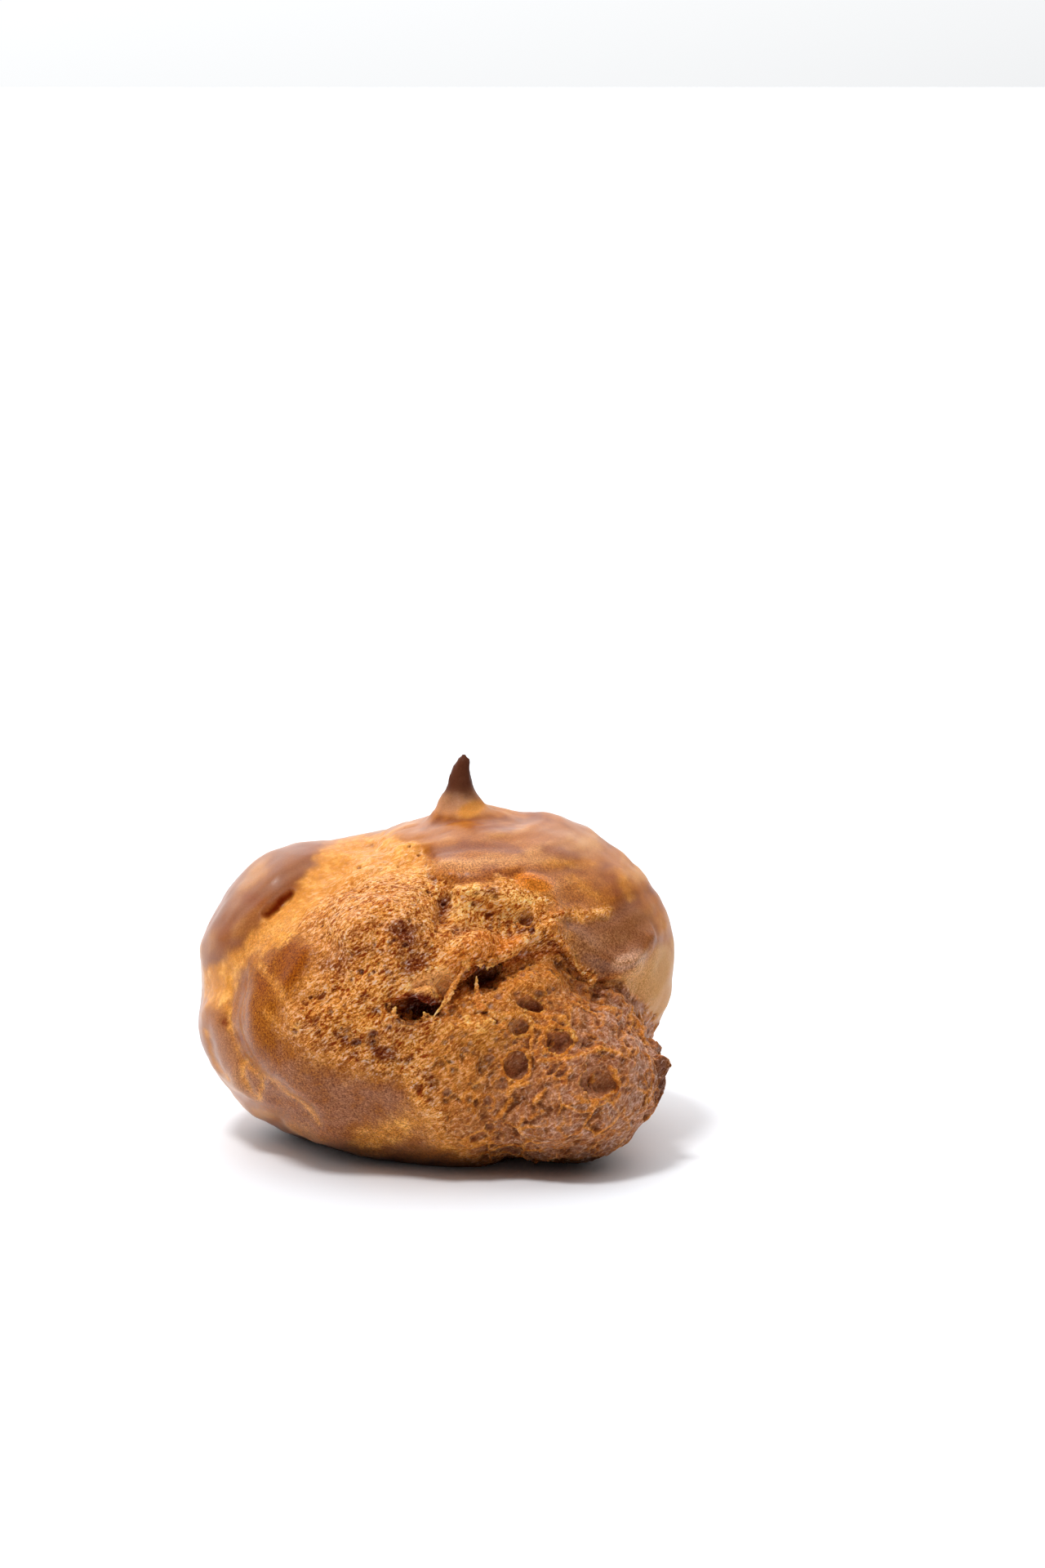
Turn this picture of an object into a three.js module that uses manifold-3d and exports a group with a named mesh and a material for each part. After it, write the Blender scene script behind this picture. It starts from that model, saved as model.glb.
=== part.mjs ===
// Gougere: one baked choux puff in millimetres, +Z up, standing on a flat foot at z = 0.
// Billowed lobes make the body, and a piped peak stands on its crown. The front has burst: a rough
// swollen lobe pushes out under the crown's lip, with torn holes, burst bubbles and crags.
import * as THREE from "three";
import { ImprovedNoise } from "three/addons/math/ImprovedNoise.js";
import { mergeVertices } from "three/addons/utils/BufferGeometryUtils.js";
import Module from "manifold-3d";

// Driving dimensions.
const WIDTH = 60;
const DEPTH = 58;
const BODY_HEIGHT = 41.6;
const PEAK_HEIGHT = 7.2;

// Every place and size below is a share of the half width, so the puff scales as one.
const HALF = WIDTH / 2;

// The front face is described as seen from slightly above, with u to the right and v up from the
// middle of the foot.
const VIEW_TILT = THREE.MathUtils.degToRad(12);
const FACE_RIGHT = new THREE.Vector3(1, 0, 0);
const FACE_UP = new THREE.Vector3(0, Math.sin(VIEW_TILT), Math.cos(VIEW_TILT));
const FACE_OUT = new THREE.Vector3(0, -Math.cos(VIEW_TILT), Math.sin(VIEW_TILT));

// The lobes that the dough swelled into: centre and radii.
const HEART = [0, 0, 0.6];
const LOBE_BLEND = 0.035;
const LOBES = {
  core: { at: [0, 0.03, 0.57], radii: [0.9, 0.9, 0.7] },
  crown: { at: [0.24, 0.07, 0.9], radii: [0.58, 0.67, 0.5] },
  saddle: { at: [-0.12, 0.1, 0.85], radii: [0.42, 0.5, 0.43] },
  rightShoulder: { at: [0.5, 0.05, 0.78], radii: [0.49, 0.58, 0.49] },
  rightWall: { at: [0.5, 0.1, 0.62], radii: [0.47, 0.52, 0.54] },
  upperLeftRoll: { at: [-0.54, 0.1, 0.75], radii: [0.44, 0.56, 0.48] },
  lowerLeftRoll: { at: [-0.55, 0, 0.56], radii: [0.46, 0.56, 0.54] },
  crescentRoll: { at: [-0.44, -0.3, 0.56], radii: [0.39, 0.5, 0.48] },
  frontBulge: { at: [-0.12, -0.4, 0.74], radii: [0.43, 0.5, 0.43] },
  frontFoot: { at: [0.1, -0.36, 0.4], radii: [0.46, 0.5, 0.4] },
  burstLobe: { at: [0.52, -0.43, 0.39], radii: [0.41, 0.47, 0.38] },
  backRightLobe: { at: [0.38, 0.4, 0.6], radii: [0.5, 0.52, 0.56] },
  backLeftLobe: { at: [-0.2, 0.43, 0.52], radii: [0.54, 0.5, 0.58] },
};

// Mesh density: splits of each icosahedron edge, and how far they crowd towards the front.
const BODY_SPLITS = 21;
const FRONT_CROWDING = 0.25;

// Folds and lips on the front face: a path, its half width and how deep it sinks (a lip rises).
const FRONT_SEAMS = {
  upperFold: { width: 0.075, depth: 0.055,
    path: [[-0.29, 1.22], [-0.45, 1.1], [-0.63, 0.94], [-0.78, 0.78], [-0.94, 0.61]] },
  lowerFold: { width: 0.05, depth: 0.05,
    path: [[-0.84, 0.65], [-0.86, 0.48], [-0.81, 0.33], [-0.7, 0.19], [-0.54, 0.06]] },
  crescentEdge: { width: 0.05, depth: -0.02,
    path: [[-0.5, 0.79], [-0.58, 0.6], [-0.5, 0.4], [-0.3, 0.24], [0, 0.12]] },
  creviceUnderCrown: { width: 0.05, depth: 0.11,
    path: [[0.05, 0.56], [0.2, 0.65], [0.36, 0.71], [0.5, 0.74], [0.57, 0.66], [0.68, 0.62]] },
  hollowBesideBurstLobe: { width: 0.08, depth: 0.05,
    path: [[0.66, 0.62], [0.78, 0.58], [0.9, 0.42]] },
  crownLip: { width: 0.06, depth: -0.04,
    path: [[0.38, 0.79], [0.52, 0.8], [0.64, 0.71], [0.78, 0.69]] },
  browOverTornFace: { width: 0.07, depth: -0.03,
    path: [[0.04, 1.06], [0.16, 1.03], [0.3, 0.98], [0.44, 0.94]] },
  creaseAtLeftFoot: { width: 0.04, depth: 0.03,
    path: [[-0.92, 0.2], [-0.77, 0.1], [-0.66, 0.05]] },
};
const SEAM_SAMPLES = 40;

// Folds round the back, as azimuth in degrees from the front and height, with their sizes.
const BACK_SEAMS = {
  long: { width: 0.1, depth: 0.05, path: [[100, 1.05], [130, 0.85], [165, 0.75], [200, 0.62], [232, 0.55]] },
  high: { width: 0.09, depth: 0.04, path: [[165, 1.15], [190, 0.98], [215, 0.9], [245, 0.72]] },
  low: { width: 0.09, depth: 0.035, path: [[95, 0.45], [125, 0.4], [150, 0.28], [175, 0.2]] },
};
const DEGREES_PER_HALF = 60;

// Front relief fades in over this much depth past the middle, where the back's takes over.
const FRONT_FADE = 0.25;

// The rough torn face, as overlapping ovals on the front, and the crags that cover it.
const TORN_OVALS = [
  { u: -0.17, v: 0.66, across: 0.36, up: 0.38 },
  { u: 0.2, v: 0.8, across: 0.34, up: 0.2 },
  { u: 0.5, v: 0.26, across: 0.46, up: 0.42 },
  { u: 0.1, v: 0.3, across: 0.3, up: 0.26 },
];
const TORN_EDGE = 0.35;
const CRAG_WAVE = 0.13;
const CRAG_HEIGHT = 0.021;
const FINE_CRAG_SHARE = 0.6;
const SKIN_WAVE = 0.34;
const SKIN_HEIGHT = 0.012;

// Torn holes and burst bubbles on the front: half sizes on the face, depth, and roll in degrees.
const CAVITIES = {
  tornHole: { u: -0.08, v: 0.525, across: 0.115, up: 0.05, depth: 0.2, roll: -3 },
  tornHoleUnderLip: { u: 0.19, v: 0.645, across: 0.08, up: 0.052, depth: 0.2, roll: 18 },
  slitInUpperFold: { u: -0.655, v: 0.945, across: 0.085, up: 0.022, depth: 0.08, roll: 38 },
  cellBubble: { u: 0.5, v: 0.378, across: 0.062, up: 0.06, depth: 0.055, roll: 0 },
  cellInBubble: { u: 0.476, v: 0.388, across: 0.02, up: 0.022, depth: 0.09, roll: 0 },
  halfBubble: { u: 0.335, v: 0.295, across: 0.055, up: 0.066, depth: 0.055, roll: 0 },
  wideBubble: { u: 0.66, v: 0.235, across: 0.11, up: 0.085, depth: 0.035, roll: 10 },
  cellInWideBubble: { u: 0.69, v: 0.21, across: 0.052, up: 0.046, depth: 0.07, roll: 0 },
  bubbleUnderCrevice: { u: 0.36, v: 0.435, across: 0.048, up: 0.045, depth: 0.035, roll: 0 },
  slantedBubble: { u: 0.4, v: 0.53, across: 0.066, up: 0.045, depth: 0.04, roll: -20 },
  browBubble: { u: 0.365, v: 0.86, across: 0.036, up: 0.034, depth: 0.07, roll: 0 },
  browSlit: { u: 0.385, v: 0.81, across: 0.014, up: 0.036, depth: 0.06, roll: -15 },
  bubbleUnderTornHole: { u: -0.115, v: 0.458, across: 0.048, up: 0.022, depth: 0.03, roll: 0 },
  flatBubble: { u: 0.214, v: 0.288, across: 0.06, up: 0.042, depth: 0.022, roll: 15 },
  upperPore: { u: 0.075, v: 0.909, across: 0.026, up: 0.022, depth: 0.035, roll: 0 },
  leftPore: { u: -0.25, v: 0.4, across: 0.026, up: 0.022, depth: 0.03, roll: 0 },
  farLeftPore: { u: -0.36, v: 0.42, across: 0.02, up: 0.017, depth: 0.03, roll: 0 },
};
const CAVITY_SPLITS = 3;

// Hard little nubs where dough dripped and burned: place on the face and radius.
const NUBS = [
  { u: 0.885, v: 0.36, radius: 0.04 },
  { u: 0.91, v: 0.285, radius: 0.045 },
  { u: 0.875, v: 0.14, radius: 0.028 },
  { u: 0.28, v: -0.12, radius: 0.05 },
];
const NUB_SPLITS = 2;

// The piped peak: where it stands, its flared root, its shaft and the curl of its tip.
const PEAK_AT = [0.11, 0.03];
const PEAK_ROOT = 0.085;
const PEAK_ROOT_SPREAD = 0.07;
const PEAK_SKIRT = 0.2;
const PEAK_SHAFT = 0.041;
const PEAK_SINK = 0.1;
const PEAK_CURL = 0.012;
const PEAK_RINGS = 14;
const PEAK_SIDES = 14;

// Lines of sight start this far out, and step towards the heart by this share until they meet dough.
const OUTSIDE = 3;
const SIGHT_STEP = 0.01;

const noise = new ImprovedNoise();
const wasm = await Module();
wasm.setup();

// Distance from the heart along a direction to the far side of one lobe, or 0 where it misses.
function exitDistance({ at, radii }, direction) {
  let along = 0;
  let toward = 0;
  let outside = -1;
  for (let axis = 0; axis < 3; axis++) {
    const start = (HEART[axis] - at[axis]) / radii[axis];
    const step = direction.getComponent(axis) / radii[axis];
    along += step * step;
    toward += start * step;
    outside += start * start;
  }
  const room = toward * toward - along * outside;
  return room < 0 ? 0 : (Math.sqrt(room) - toward) / along;
}

// Radius of the billowed body: the smooth maximum over all lobes.
function bodyRadius(direction) {
  let sum = 0;
  for (const lobe of Object.values(LOBES)) sum += Math.exp(exitDistance(lobe, direction) / LOBE_BLEND);
  return LOBE_BLEND * Math.log(sum);
}

// A sphere of even triangles with merged corners, radius 1.
function sphere(splits) {
  const geometry = new THREE.IcosahedronGeometry(1, splits - 1);
  geometry.deleteAttribute("normal");
  geometry.deleteAttribute("uv");
  return mergeVertices(geometry, 1e-4);
}

// Calls change(point, index) on every vertex and writes the point back.
function reshape(geometry, change) {
  const position = geometry.attributes.position;
  const point = new THREE.Vector3();
  for (let i = 0; i < position.count; i++) {
    change(point.fromBufferAttribute(position, i), i);
    position.setXYZ(i, point.x, point.y, point.z);
  }
  return geometry;
}

function billowedBody() {
  const heart = new THREE.Vector3(...HEART);
  return reshape(sphere(BODY_SPLITS), (point) => {
    point.addScaledVector(FACE_OUT, FRONT_CROWDING).normalize();
    point.multiplyScalar(bodyRadius(point)).add(heart);
  });
}

// Scales the body to its driving sizes and centres it over the origin, its top at the body's height.
function fitToSize(geometry) {
  geometry.computeBoundingBox();
  const { min, max } = geometry.boundingBox;
  geometry.translate(-(min.x + max.x) / 2, -(min.y + max.y) / 2, 0);
  geometry.scale(WIDTH / HALF / (max.x - min.x), DEPTH / HALF / (max.y - min.y), BODY_HEIGHT / HALF / max.z);
  return geometry;
}

// A smooth path through a few points, and the distance to it from a 2D spot.
function makePath(points) {
  return new THREE.SplineCurve(points.map(([a, b]) => new THREE.Vector2(a, b))).getPoints(SEAM_SAMPLES);
}
function distanceTo(path, a, b) {
  return Math.min(...path.map((spot) => Math.hypot(spot.x - a, spot.y - b)));
}

function bell(distance, width) {
  return Math.exp(-((distance / width) ** 2));
}

const frontSeams = Object.values(FRONT_SEAMS).map((seam) => ({ ...seam, line: makePath(seam.path) }));
const backSeams = Object.values(BACK_SEAMS).map((seam) => ({
  ...seam,
  line: makePath(seam.path.map(([azimuth, height]) => [azimuth / DEGREES_PER_HALF, height])),
}));

// How far a spot lies inside the torn face, from 0 on the smooth skin to 1.
function tornShare(u, v) {
  const inside = TORN_OVALS.map((oval) => 1 - Math.hypot((u - oval.u) / oval.across, (v - oval.v) / oval.up));
  return THREE.MathUtils.smoothstep(Math.max(...inside), -TORN_EDGE / 2, TORN_EDGE / 2);
}

// Height of the relief over the billowed body at a point.
function relief(point) {
  const u = point.dot(FACE_RIGHT);
  const v = point.dot(FACE_UP);
  const facing = THREE.MathUtils.smoothstep(point.dot(FACE_OUT), 0, FRONT_FADE);
  const azimuth = THREE.MathUtils.radToDeg(Math.atan2(point.x, -point.y));
  const around = (azimuth + 360) % 360;
  let height = 0;
  for (const { line, width, depth } of frontSeams) height -= facing * depth * bell(distanceTo(line, u, v), width);
  for (const { line, width, depth } of backSeams) {
    height -= (1 - facing) * depth * bell(distanceTo(line, around / DEGREES_PER_HALF, point.z), width);
  }
  const crag = (wave) => noise.noise(point.x / wave, point.y / wave, point.z / wave);
  height += facing * tornShare(u, v) * CRAG_HEIGHT * (crag(CRAG_WAVE) + FINE_CRAG_SHARE * crag(CRAG_WAVE / 2));
  return height + SKIN_HEIGHT * crag(SKIN_WAVE);
}

function addRelief(geometry) {
  geometry.computeVertexNormals();
  const normal = new THREE.Vector3();
  return reshape(geometry, (point, i) => {
    normal.fromBufferAttribute(geometry.attributes.normal, i);
    point.addScaledVector(normal, relief(point));
  });
}

function solidOf(geometry) {
  const bare = new THREE.BufferGeometry().setAttribute("position", geometry.attributes.position);
  if (geometry.index) bare.setIndex(geometry.index);
  const merged = mergeVertices(bare, 1e-5);
  return new wasm.Manifold(
    new wasm.Mesh({
      numProp: 3,
      vertProperties: new Float32Array(merged.attributes.position.array),
      triVerts: new Uint32Array(merged.index.array),
    }),
  );
}

function geometryOf(solid) {
  const { vertProperties, triVerts } = solid.getMesh();
  const geometry = new THREE.BufferGeometry();
  geometry.setAttribute("position", new THREE.BufferAttribute(new Float32Array(vertProperties), 3));
  return geometry.setIndex(new THREE.BufferAttribute(new Uint32Array(triVerts), 1));
}

// Where the line of sight at (u, v) first meets the body, stepping inwards from beyond its outline.
function makeFaceFinder(geometry) {
  const mesh = new THREE.Mesh(geometry, new THREE.MeshBasicMaterial());
  const ray = new THREE.Raycaster();
  return (u, v) => {
    for (let share = 1; share > 0; share -= SIGHT_STEP) {
      const start = new THREE.Vector3().addScaledVector(FACE_RIGHT, u * share);
      start.addScaledVector(FACE_UP, v * share + HEART[2] * (1 - share)).addScaledVector(FACE_OUT, OUTSIDE);
      ray.set(start, FACE_OUT.clone().negate());
      const [hit] = ray.intersectObject(mesh);
      if (hit) return hit.point;
    }
    throw new Error("no line of sight meets the body");
  };
}

// An oval blank across the face, its roll turned in the face's plane.
function cavityBlank({ across, up, depth, roll }, spot) {
  const turn = new THREE.Matrix4().makeRotationZ(THREE.MathUtils.degToRad(roll));
  const face = new THREE.Matrix4().makeBasis(FACE_RIGHT, FACE_UP, FACE_OUT);
  const size = new THREE.Matrix4().makeScale(across, up, depth);
  return sphere(CAVITY_SPLITS).applyMatrix4(face.multiply(turn).multiply(size)).translate(spot.x, spot.y, spot.z);
}

function nubBlank({ radius }, spot) {
  return sphere(NUB_SPLITS).scale(radius, radius, radius).translate(spot.x, spot.y, spot.z);
}

// The peak as a lathed spire: a skirt sunk in the crown, a flared root, and a tip that curls over.
function peakBlank(base) {
  const height = PEAK_HEIGHT / HALF;
  const profile = [new THREE.Vector2(0, -PEAK_SINK), new THREE.Vector2(PEAK_SKIRT, -PEAK_SINK)];
  for (let ring = 0; ring < PEAK_RINGS; ring++) {
    const share = ring / PEAK_RINGS;
    const flare = PEAK_ROOT * bell(share * height, PEAK_ROOT_SPREAD);
    const shaft = PEAK_SHAFT * Math.sqrt(1 - share ** 3);
    profile.push(new THREE.Vector2(flare + shaft, share * height));
  }
  profile.push(new THREE.Vector2(0, height));
  const spire = new THREE.LatheGeometry(profile, PEAK_SIDES).rotateX(Math.PI / 2);
  reshape(spire, (point) => {
    const share = Math.max(point.z / height, 0);
    point.x += PEAK_CURL * (share ** 2 - Math.sin(Math.PI * share));
  });
  return spire.translate(base.x, base.y, base.z);
}

function topOf(geometry, x, y) {
  const ray = new THREE.Raycaster(new THREE.Vector3(x, y, OUTSIDE), new THREE.Vector3(0, 0, -1));
  return ray.intersectObject(new THREE.Mesh(geometry, new THREE.MeshBasicMaterial()))[0].point;
}

// Everything under the foot's plane.
function floorBlank() {
  return new THREE.BoxGeometry(OUTSIDE, OUTSIDE, OUTSIDE).translate(0, 0, -OUTSIDE / 2);
}

// Moves the middle of the footprint's box over the origin.
function centre(geometry) {
  geometry.computeBoundingBox();
  const middle = geometry.boundingBox.getCenter(new THREE.Vector3());
  return geometry.translate(-middle.x, -middle.y, 0);
}

function gougereGeometry() {
  const body = addRelief(fitToSize(billowedBody()));
  const faceSpot = makeFaceFinder(body);
  let solid = solidOf(body);
  for (const nub of NUBS) solid = solid.add(solidOf(nubBlank(nub, faceSpot(nub.u, nub.v))));
  solid = solid.add(solidOf(peakBlank(topOf(body, ...PEAK_AT))));
  for (const cavity of Object.values(CAVITIES)) {
    solid = solid.subtract(solidOf(cavityBlank(cavity, faceSpot(cavity.u, cavity.v))));
  }
  solid = solid.subtract(solidOf(floorBlank()));
  return centre(geometryOf(solid).scale(HALF, HALF, HALF));
}

const crust = new THREE.MeshStandardMaterial({ color: 0xa5652f, roughness: 0.45, metalness: 0 });
const gougere = new THREE.Mesh(gougereGeometry(), crust);
gougere.name = "gougere";

const part = new THREE.Group();
part.add(gougere);
export default part;
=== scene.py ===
# Looks of a baked choux puff: billowed egg-glazed rolls, a piped peak, and a front that has burst open.
import itertools
import math

import bmesh
import bpy
import numpy as np
from mathutils import Euler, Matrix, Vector
from mathutils.bvhtree import BVHTree
from mathutils.kdtree import KDTree


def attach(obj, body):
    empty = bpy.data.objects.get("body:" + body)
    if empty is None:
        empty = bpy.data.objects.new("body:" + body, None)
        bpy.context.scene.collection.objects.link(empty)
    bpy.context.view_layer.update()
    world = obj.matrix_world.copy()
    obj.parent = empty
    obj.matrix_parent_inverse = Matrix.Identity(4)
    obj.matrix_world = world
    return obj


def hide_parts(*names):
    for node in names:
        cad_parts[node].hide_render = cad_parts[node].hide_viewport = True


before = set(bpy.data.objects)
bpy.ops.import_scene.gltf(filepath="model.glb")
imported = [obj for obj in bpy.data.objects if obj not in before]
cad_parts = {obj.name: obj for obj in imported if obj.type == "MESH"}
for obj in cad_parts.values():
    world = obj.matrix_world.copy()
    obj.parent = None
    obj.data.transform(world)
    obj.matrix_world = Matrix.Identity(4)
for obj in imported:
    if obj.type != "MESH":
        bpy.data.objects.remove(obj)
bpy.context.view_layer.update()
MM = 0.001

# Camera: the photo's frame and viewing angle.
IMAGE_WIDTH, IMAGE_HEIGHT = 1280, 1920
LENS, SENSOR = 100, 36
VIEW_TILT = math.radians(12)
CAMERA_DISTANCE = 0.5485
AIM = Vector((0, 0, 0.020))
PITCH_TRIM = math.radians(2.54)
YAW_TRIM = math.radians(-1.155)
PIXELS_PER_TANGENT = IMAGE_HEIGHT * LENS / SENSOR

# Mesh: an even voxel skin, split once more where the front has burst.
VOXEL = 0.5 * MM
SMOOTHING_ROUNDS = 14
SPIRE_ROUNDS = 3
SPIRE_HEIGHTS = (41, 43)
SMOOTH_STEP = 0.5
REGROW_STEP = -0.52
FINE_MARGIN = 14
FINE_SLIT = 1.4
FINE_FACING = -0.1
FRONT_FACING = (0.0, 0.25)
FILL_ROUNDS = 50
HOLLOW_ROUNDS, VALLEY_ROUNDS = 8, 60

# Noise: the length of its tables, and the gain that brings it to about -1 to 1.
NOISE_SIZE = 512
NOISE_GAIN = 1.6

# The peak: what it regains after smoothing, between which heights, and where its foot is, in millimetres.
PEAK_REGAIN = 0.3
PEAK_HEIGHTS = (43, 45)
PEAK_FOOT = 41.4

# Places on the front, in pixels of the photo. An oval is its middle, half sizes and tilt in degrees.
LOBE_EDGE = (
    (760, 1206), (784, 1224), (802, 1250), (822, 1262), (832, 1300), (822, 1335), (812, 1362), (785, 1402),
    (745, 1424), (665, 1430), (600, 1440),
)
BURST_SKIN = (
    (366, 1132), (388, 1086), (424, 1050), (470, 1028), (520, 1040), (534, 1074), (572, 1083), (606, 1078),
    (634, 1073), (668, 1098), (672, 1120), (664, 1138), (684, 1158), (697, 1180), (722, 1200), *LOBE_EDGE,
    (550, 1400), (512, 1352), (490, 1320), (432, 1312), (372, 1287), (350, 1258), (356, 1228), (376, 1205),
    (398, 1166),
)
BURST_LOBE = (
    (548, 1232), (572, 1208), (602, 1194), (640, 1176), (684, 1168), (722, 1202), *LOBE_EDGE,
    (556, 1400), (536, 1340), (524, 1280),
)
CRESCENT_ROLL = (
    (330, 1152), (372, 1138), (398, 1166), (376, 1205), (350, 1258), (372, 1287), (432, 1312), (490, 1320),
    (512, 1352), (560, 1392), (480, 1420), (400, 1404), (330, 1352), (297, 1300), (284, 1250), (287, 1195),
)
FOLD_CREASE = (
    (240, 1206), (255, 1186), (276, 1177), (297, 1160), (313, 1139), (328, 1120), (355, 1095), (367, 1088),
    (385, 1060), (397, 1035),
)
GOLDEN_FOLD = FOLD_CREASE + (
    (440, 1018), (478, 1016), (500, 1034), (484, 1041), (446, 1062), (402, 1092), (385, 1120), (367, 1143),
    (340, 1152), (313, 1168), (297, 1189), (286, 1218), (280, 1240), (262, 1225), (244, 1232),
)
UPPER_LEFT_ROLL = FOLD_CREASE + ((392, 1010), (340, 1016), (295, 1045), (255, 1085), (236, 1140), (228, 1200))
LOWER_LEFT_LOBE = (
    (236, 1240), (262, 1228), (280, 1200), (281, 1255), (296, 1298), (330, 1345), (300, 1366), (250, 1330),
)
GOLDEN_BROW = (602, 1106, 62, 30, 0)
LOWER_FOLD = ((283, 1195), (279, 1250), (294, 1294), (320, 1316), (345, 1330), (380, 1358), (392, 1376))
LOBE_CRACKS = (
    ((296, 1298), (298, 1320), (312, 1342)),
    ((302, 1300), (322, 1322), (317, 1346)),
    ((252, 1262), (262, 1300), (280, 1322)),
)
ROLL_STREAKS = (((315, 1176), (336, 1204), (354, 1232)), ((326, 1239), (338, 1252), (348, 1263)))
CROWN_STREAKS = (
    ((668, 1056), (700, 1057), (726, 1057)),
    ((758, 1066), (764, 1080), (772, 1098)),
    ((700, 1074), (716, 1084), (730, 1098)),
)
# Browner strokes in the glaze, with their half widths.
BROWN_STROKES = (
    (((566, 1034), (600, 1036), (636, 1041)), 6),
    (((670, 1041), (688, 1046), (702, 1049)), 9),
    (((580, 1013), (604, 1013), (626, 1016)), 5),
    (((654, 1002), (670, 1003)), 5),
    (((594, 1066), (612, 1070), (630, 1078)), 8),
    (((376, 1042), (388, 1036)), 9),
    (((276, 1138), (272, 1152)), 13),
    (((302, 1098), (322, 1104)), 8),
    (((750, 1074), (756, 1092)), 6),
)
CREVICE = ((560, 1210), (575, 1196), (596, 1190), (614, 1185), (640, 1171), (664, 1166), (686, 1165))
LIP_LINE = ((686, 1165), (697, 1180), (708, 1195), (722, 1201), (742, 1199), (762, 1203))
LIP_GROOVE = (
    (608, 1194), (630, 1160), (690, 1150), (722, 1176), (780, 1200), (764, 1240), (700, 1228), (640, 1216),
)
ROLL_EDGE = ((302, 1190), (298, 1220), (299, 1255), (308, 1290), (322, 1310))
SHOULDER_LIP = (
    (676, 1130), (682, 1150), (692, 1168), (706, 1184), (724, 1192), (748, 1188), (772, 1178), (790, 1150),
)
LIP_BORDER = (
    (742, 1116), (715, 1121), (692, 1118), (672, 1128), (670, 1142), (688, 1150), (694, 1172), (708, 1188),
    (724, 1196),
)
FLAP = ((546, 1178), (560, 1164), (584, 1168), (606, 1172), (626, 1164), (640, 1152))
FLAP_SKIN = (
    (540, 1184), (548, 1166), (560, 1152), (582, 1140), (604, 1142), (622, 1150), (636, 1146), (640, 1154),
    (622, 1168), (606, 1180), (590, 1182), (570, 1184), (556, 1190),
)
MEMBRANE = (
    (500, 1215), (505, 1201), (520, 1193), (540, 1186), (556, 1190), (552, 1206), (544, 1218), (524, 1214),
)
BLISTER = (654, 1080, 28, 12, -12)
NOTCH_END = (556, 1072, 12, 9, 0)
PALE_CRUMBS = (590, 1254, 40, 15, 5)
BROW_PIT = (644, 1126, 11, 10, 0)
PATCH_PIT = (506, 1172, 20, 14, 30)
BOTTOM_STRIP = ((448, 1398), (500, 1378), (530, 1366), (560, 1396), (590, 1412), (640, 1420))
SHOULDER_LOBE = (
    (690, 1130), (742, 1112), (770, 1100), (800, 1120), (806, 1150), (790, 1178), (760, 1192), (724, 1198),
    (702, 1176),
)
SHOULDER_SHEEN = (768, 1177, 26, 11, 25)
DEEP_ROLL = ((360, 1178, 22, 34, -20), (323, 1200, 10, 17, -20))
DARK_DOTS = ((276, 1252, 4, 4, 0), (295, 1272, 3, 3, 0))
PEAK_GOLD = (578, 990, 18, 9, 20)
RIGHT_WALL = (
    (742, 1202), (770, 1192), (800, 1165), (826, 1150), (834, 1200), (816, 1266), (800, 1250), (778, 1218),
)
NOTCH = ((498, 1039), (526, 1044), (533, 1058), (529, 1074), (540, 1083))

# Mounds and hollows in the torn face: middle, half sizes, tilt in degrees and height in millimetres.
MOUNDS = {
    "bulge": (462, 1138, 92, 66, 20, 2.4),
    "valley beside it": (545, 1108, 17, 48, -12, -1.6),
    "brow": (600, 1098, 54, 22, -8, 1.6),
    "hollow under the brow": (612, 1128, 40, 18, 0, -0.7),
    "flap": (580, 1160, 42, 22, 15, 1.8),
    "crumbs under the holes": (584, 1254, 36, 14, 5, 1.5),
    "dark patch": (506, 1172, 30, 20, 30, -0.5),
    "ring on the bulge": (492, 1147, 12, 9, 0, -0.8),
    "upper left": (424, 1108, 34, 16, 35, 0.8),
    "lower left": (420, 1232, 40, 24, 10, 1.0),
    "pit beside the brow": (642, 1126, 26, 30, 0, -0.4),
    "top of the lobe": (655, 1200, 50, 22, 10, 1.0),
    "hollow beside the bubble": (718, 1277, 24, 12, 15, -0.9),
    "lobe under the lip": (728, 1218, 64, 24, -28, 1.6),
    "lobe under the wide bubble": (690, 1360, 70, 36, 10, 0.8),
}

# Patches of the torn face laid darker and paler: partly browned more and less, partly painted shade in
# hollows and pits and painted light on lumps. Middle, half sizes and tilt.
DARK_PATCHES = (
    (498, 1150, 24, 26, 20), (510, 1180, 26, 13, 30), (532, 1064, 9, 18, 0), (602, 1090, 18, 8, 0),
    (648, 1132, 8, 9, 0), (545, 1110, 10, 26, -12), (470, 1290, 26, 12, -10), (400, 1180, 18, 14, 40),
    (655, 1228, 13, 7, -28),
)
PALE_PATCHES = (
    (455, 1112, 56, 30, 20), (585, 1252, 36, 13, 5), (425, 1244, 46, 26, 0), (610, 1108, 34, 12, 0),
    (420, 1080, 40, 18, 35), (660, 1120, 12, 18, 0), (590, 1275, 40, 22, 0), (545, 1262, 30, 14, 0),
)

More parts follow.
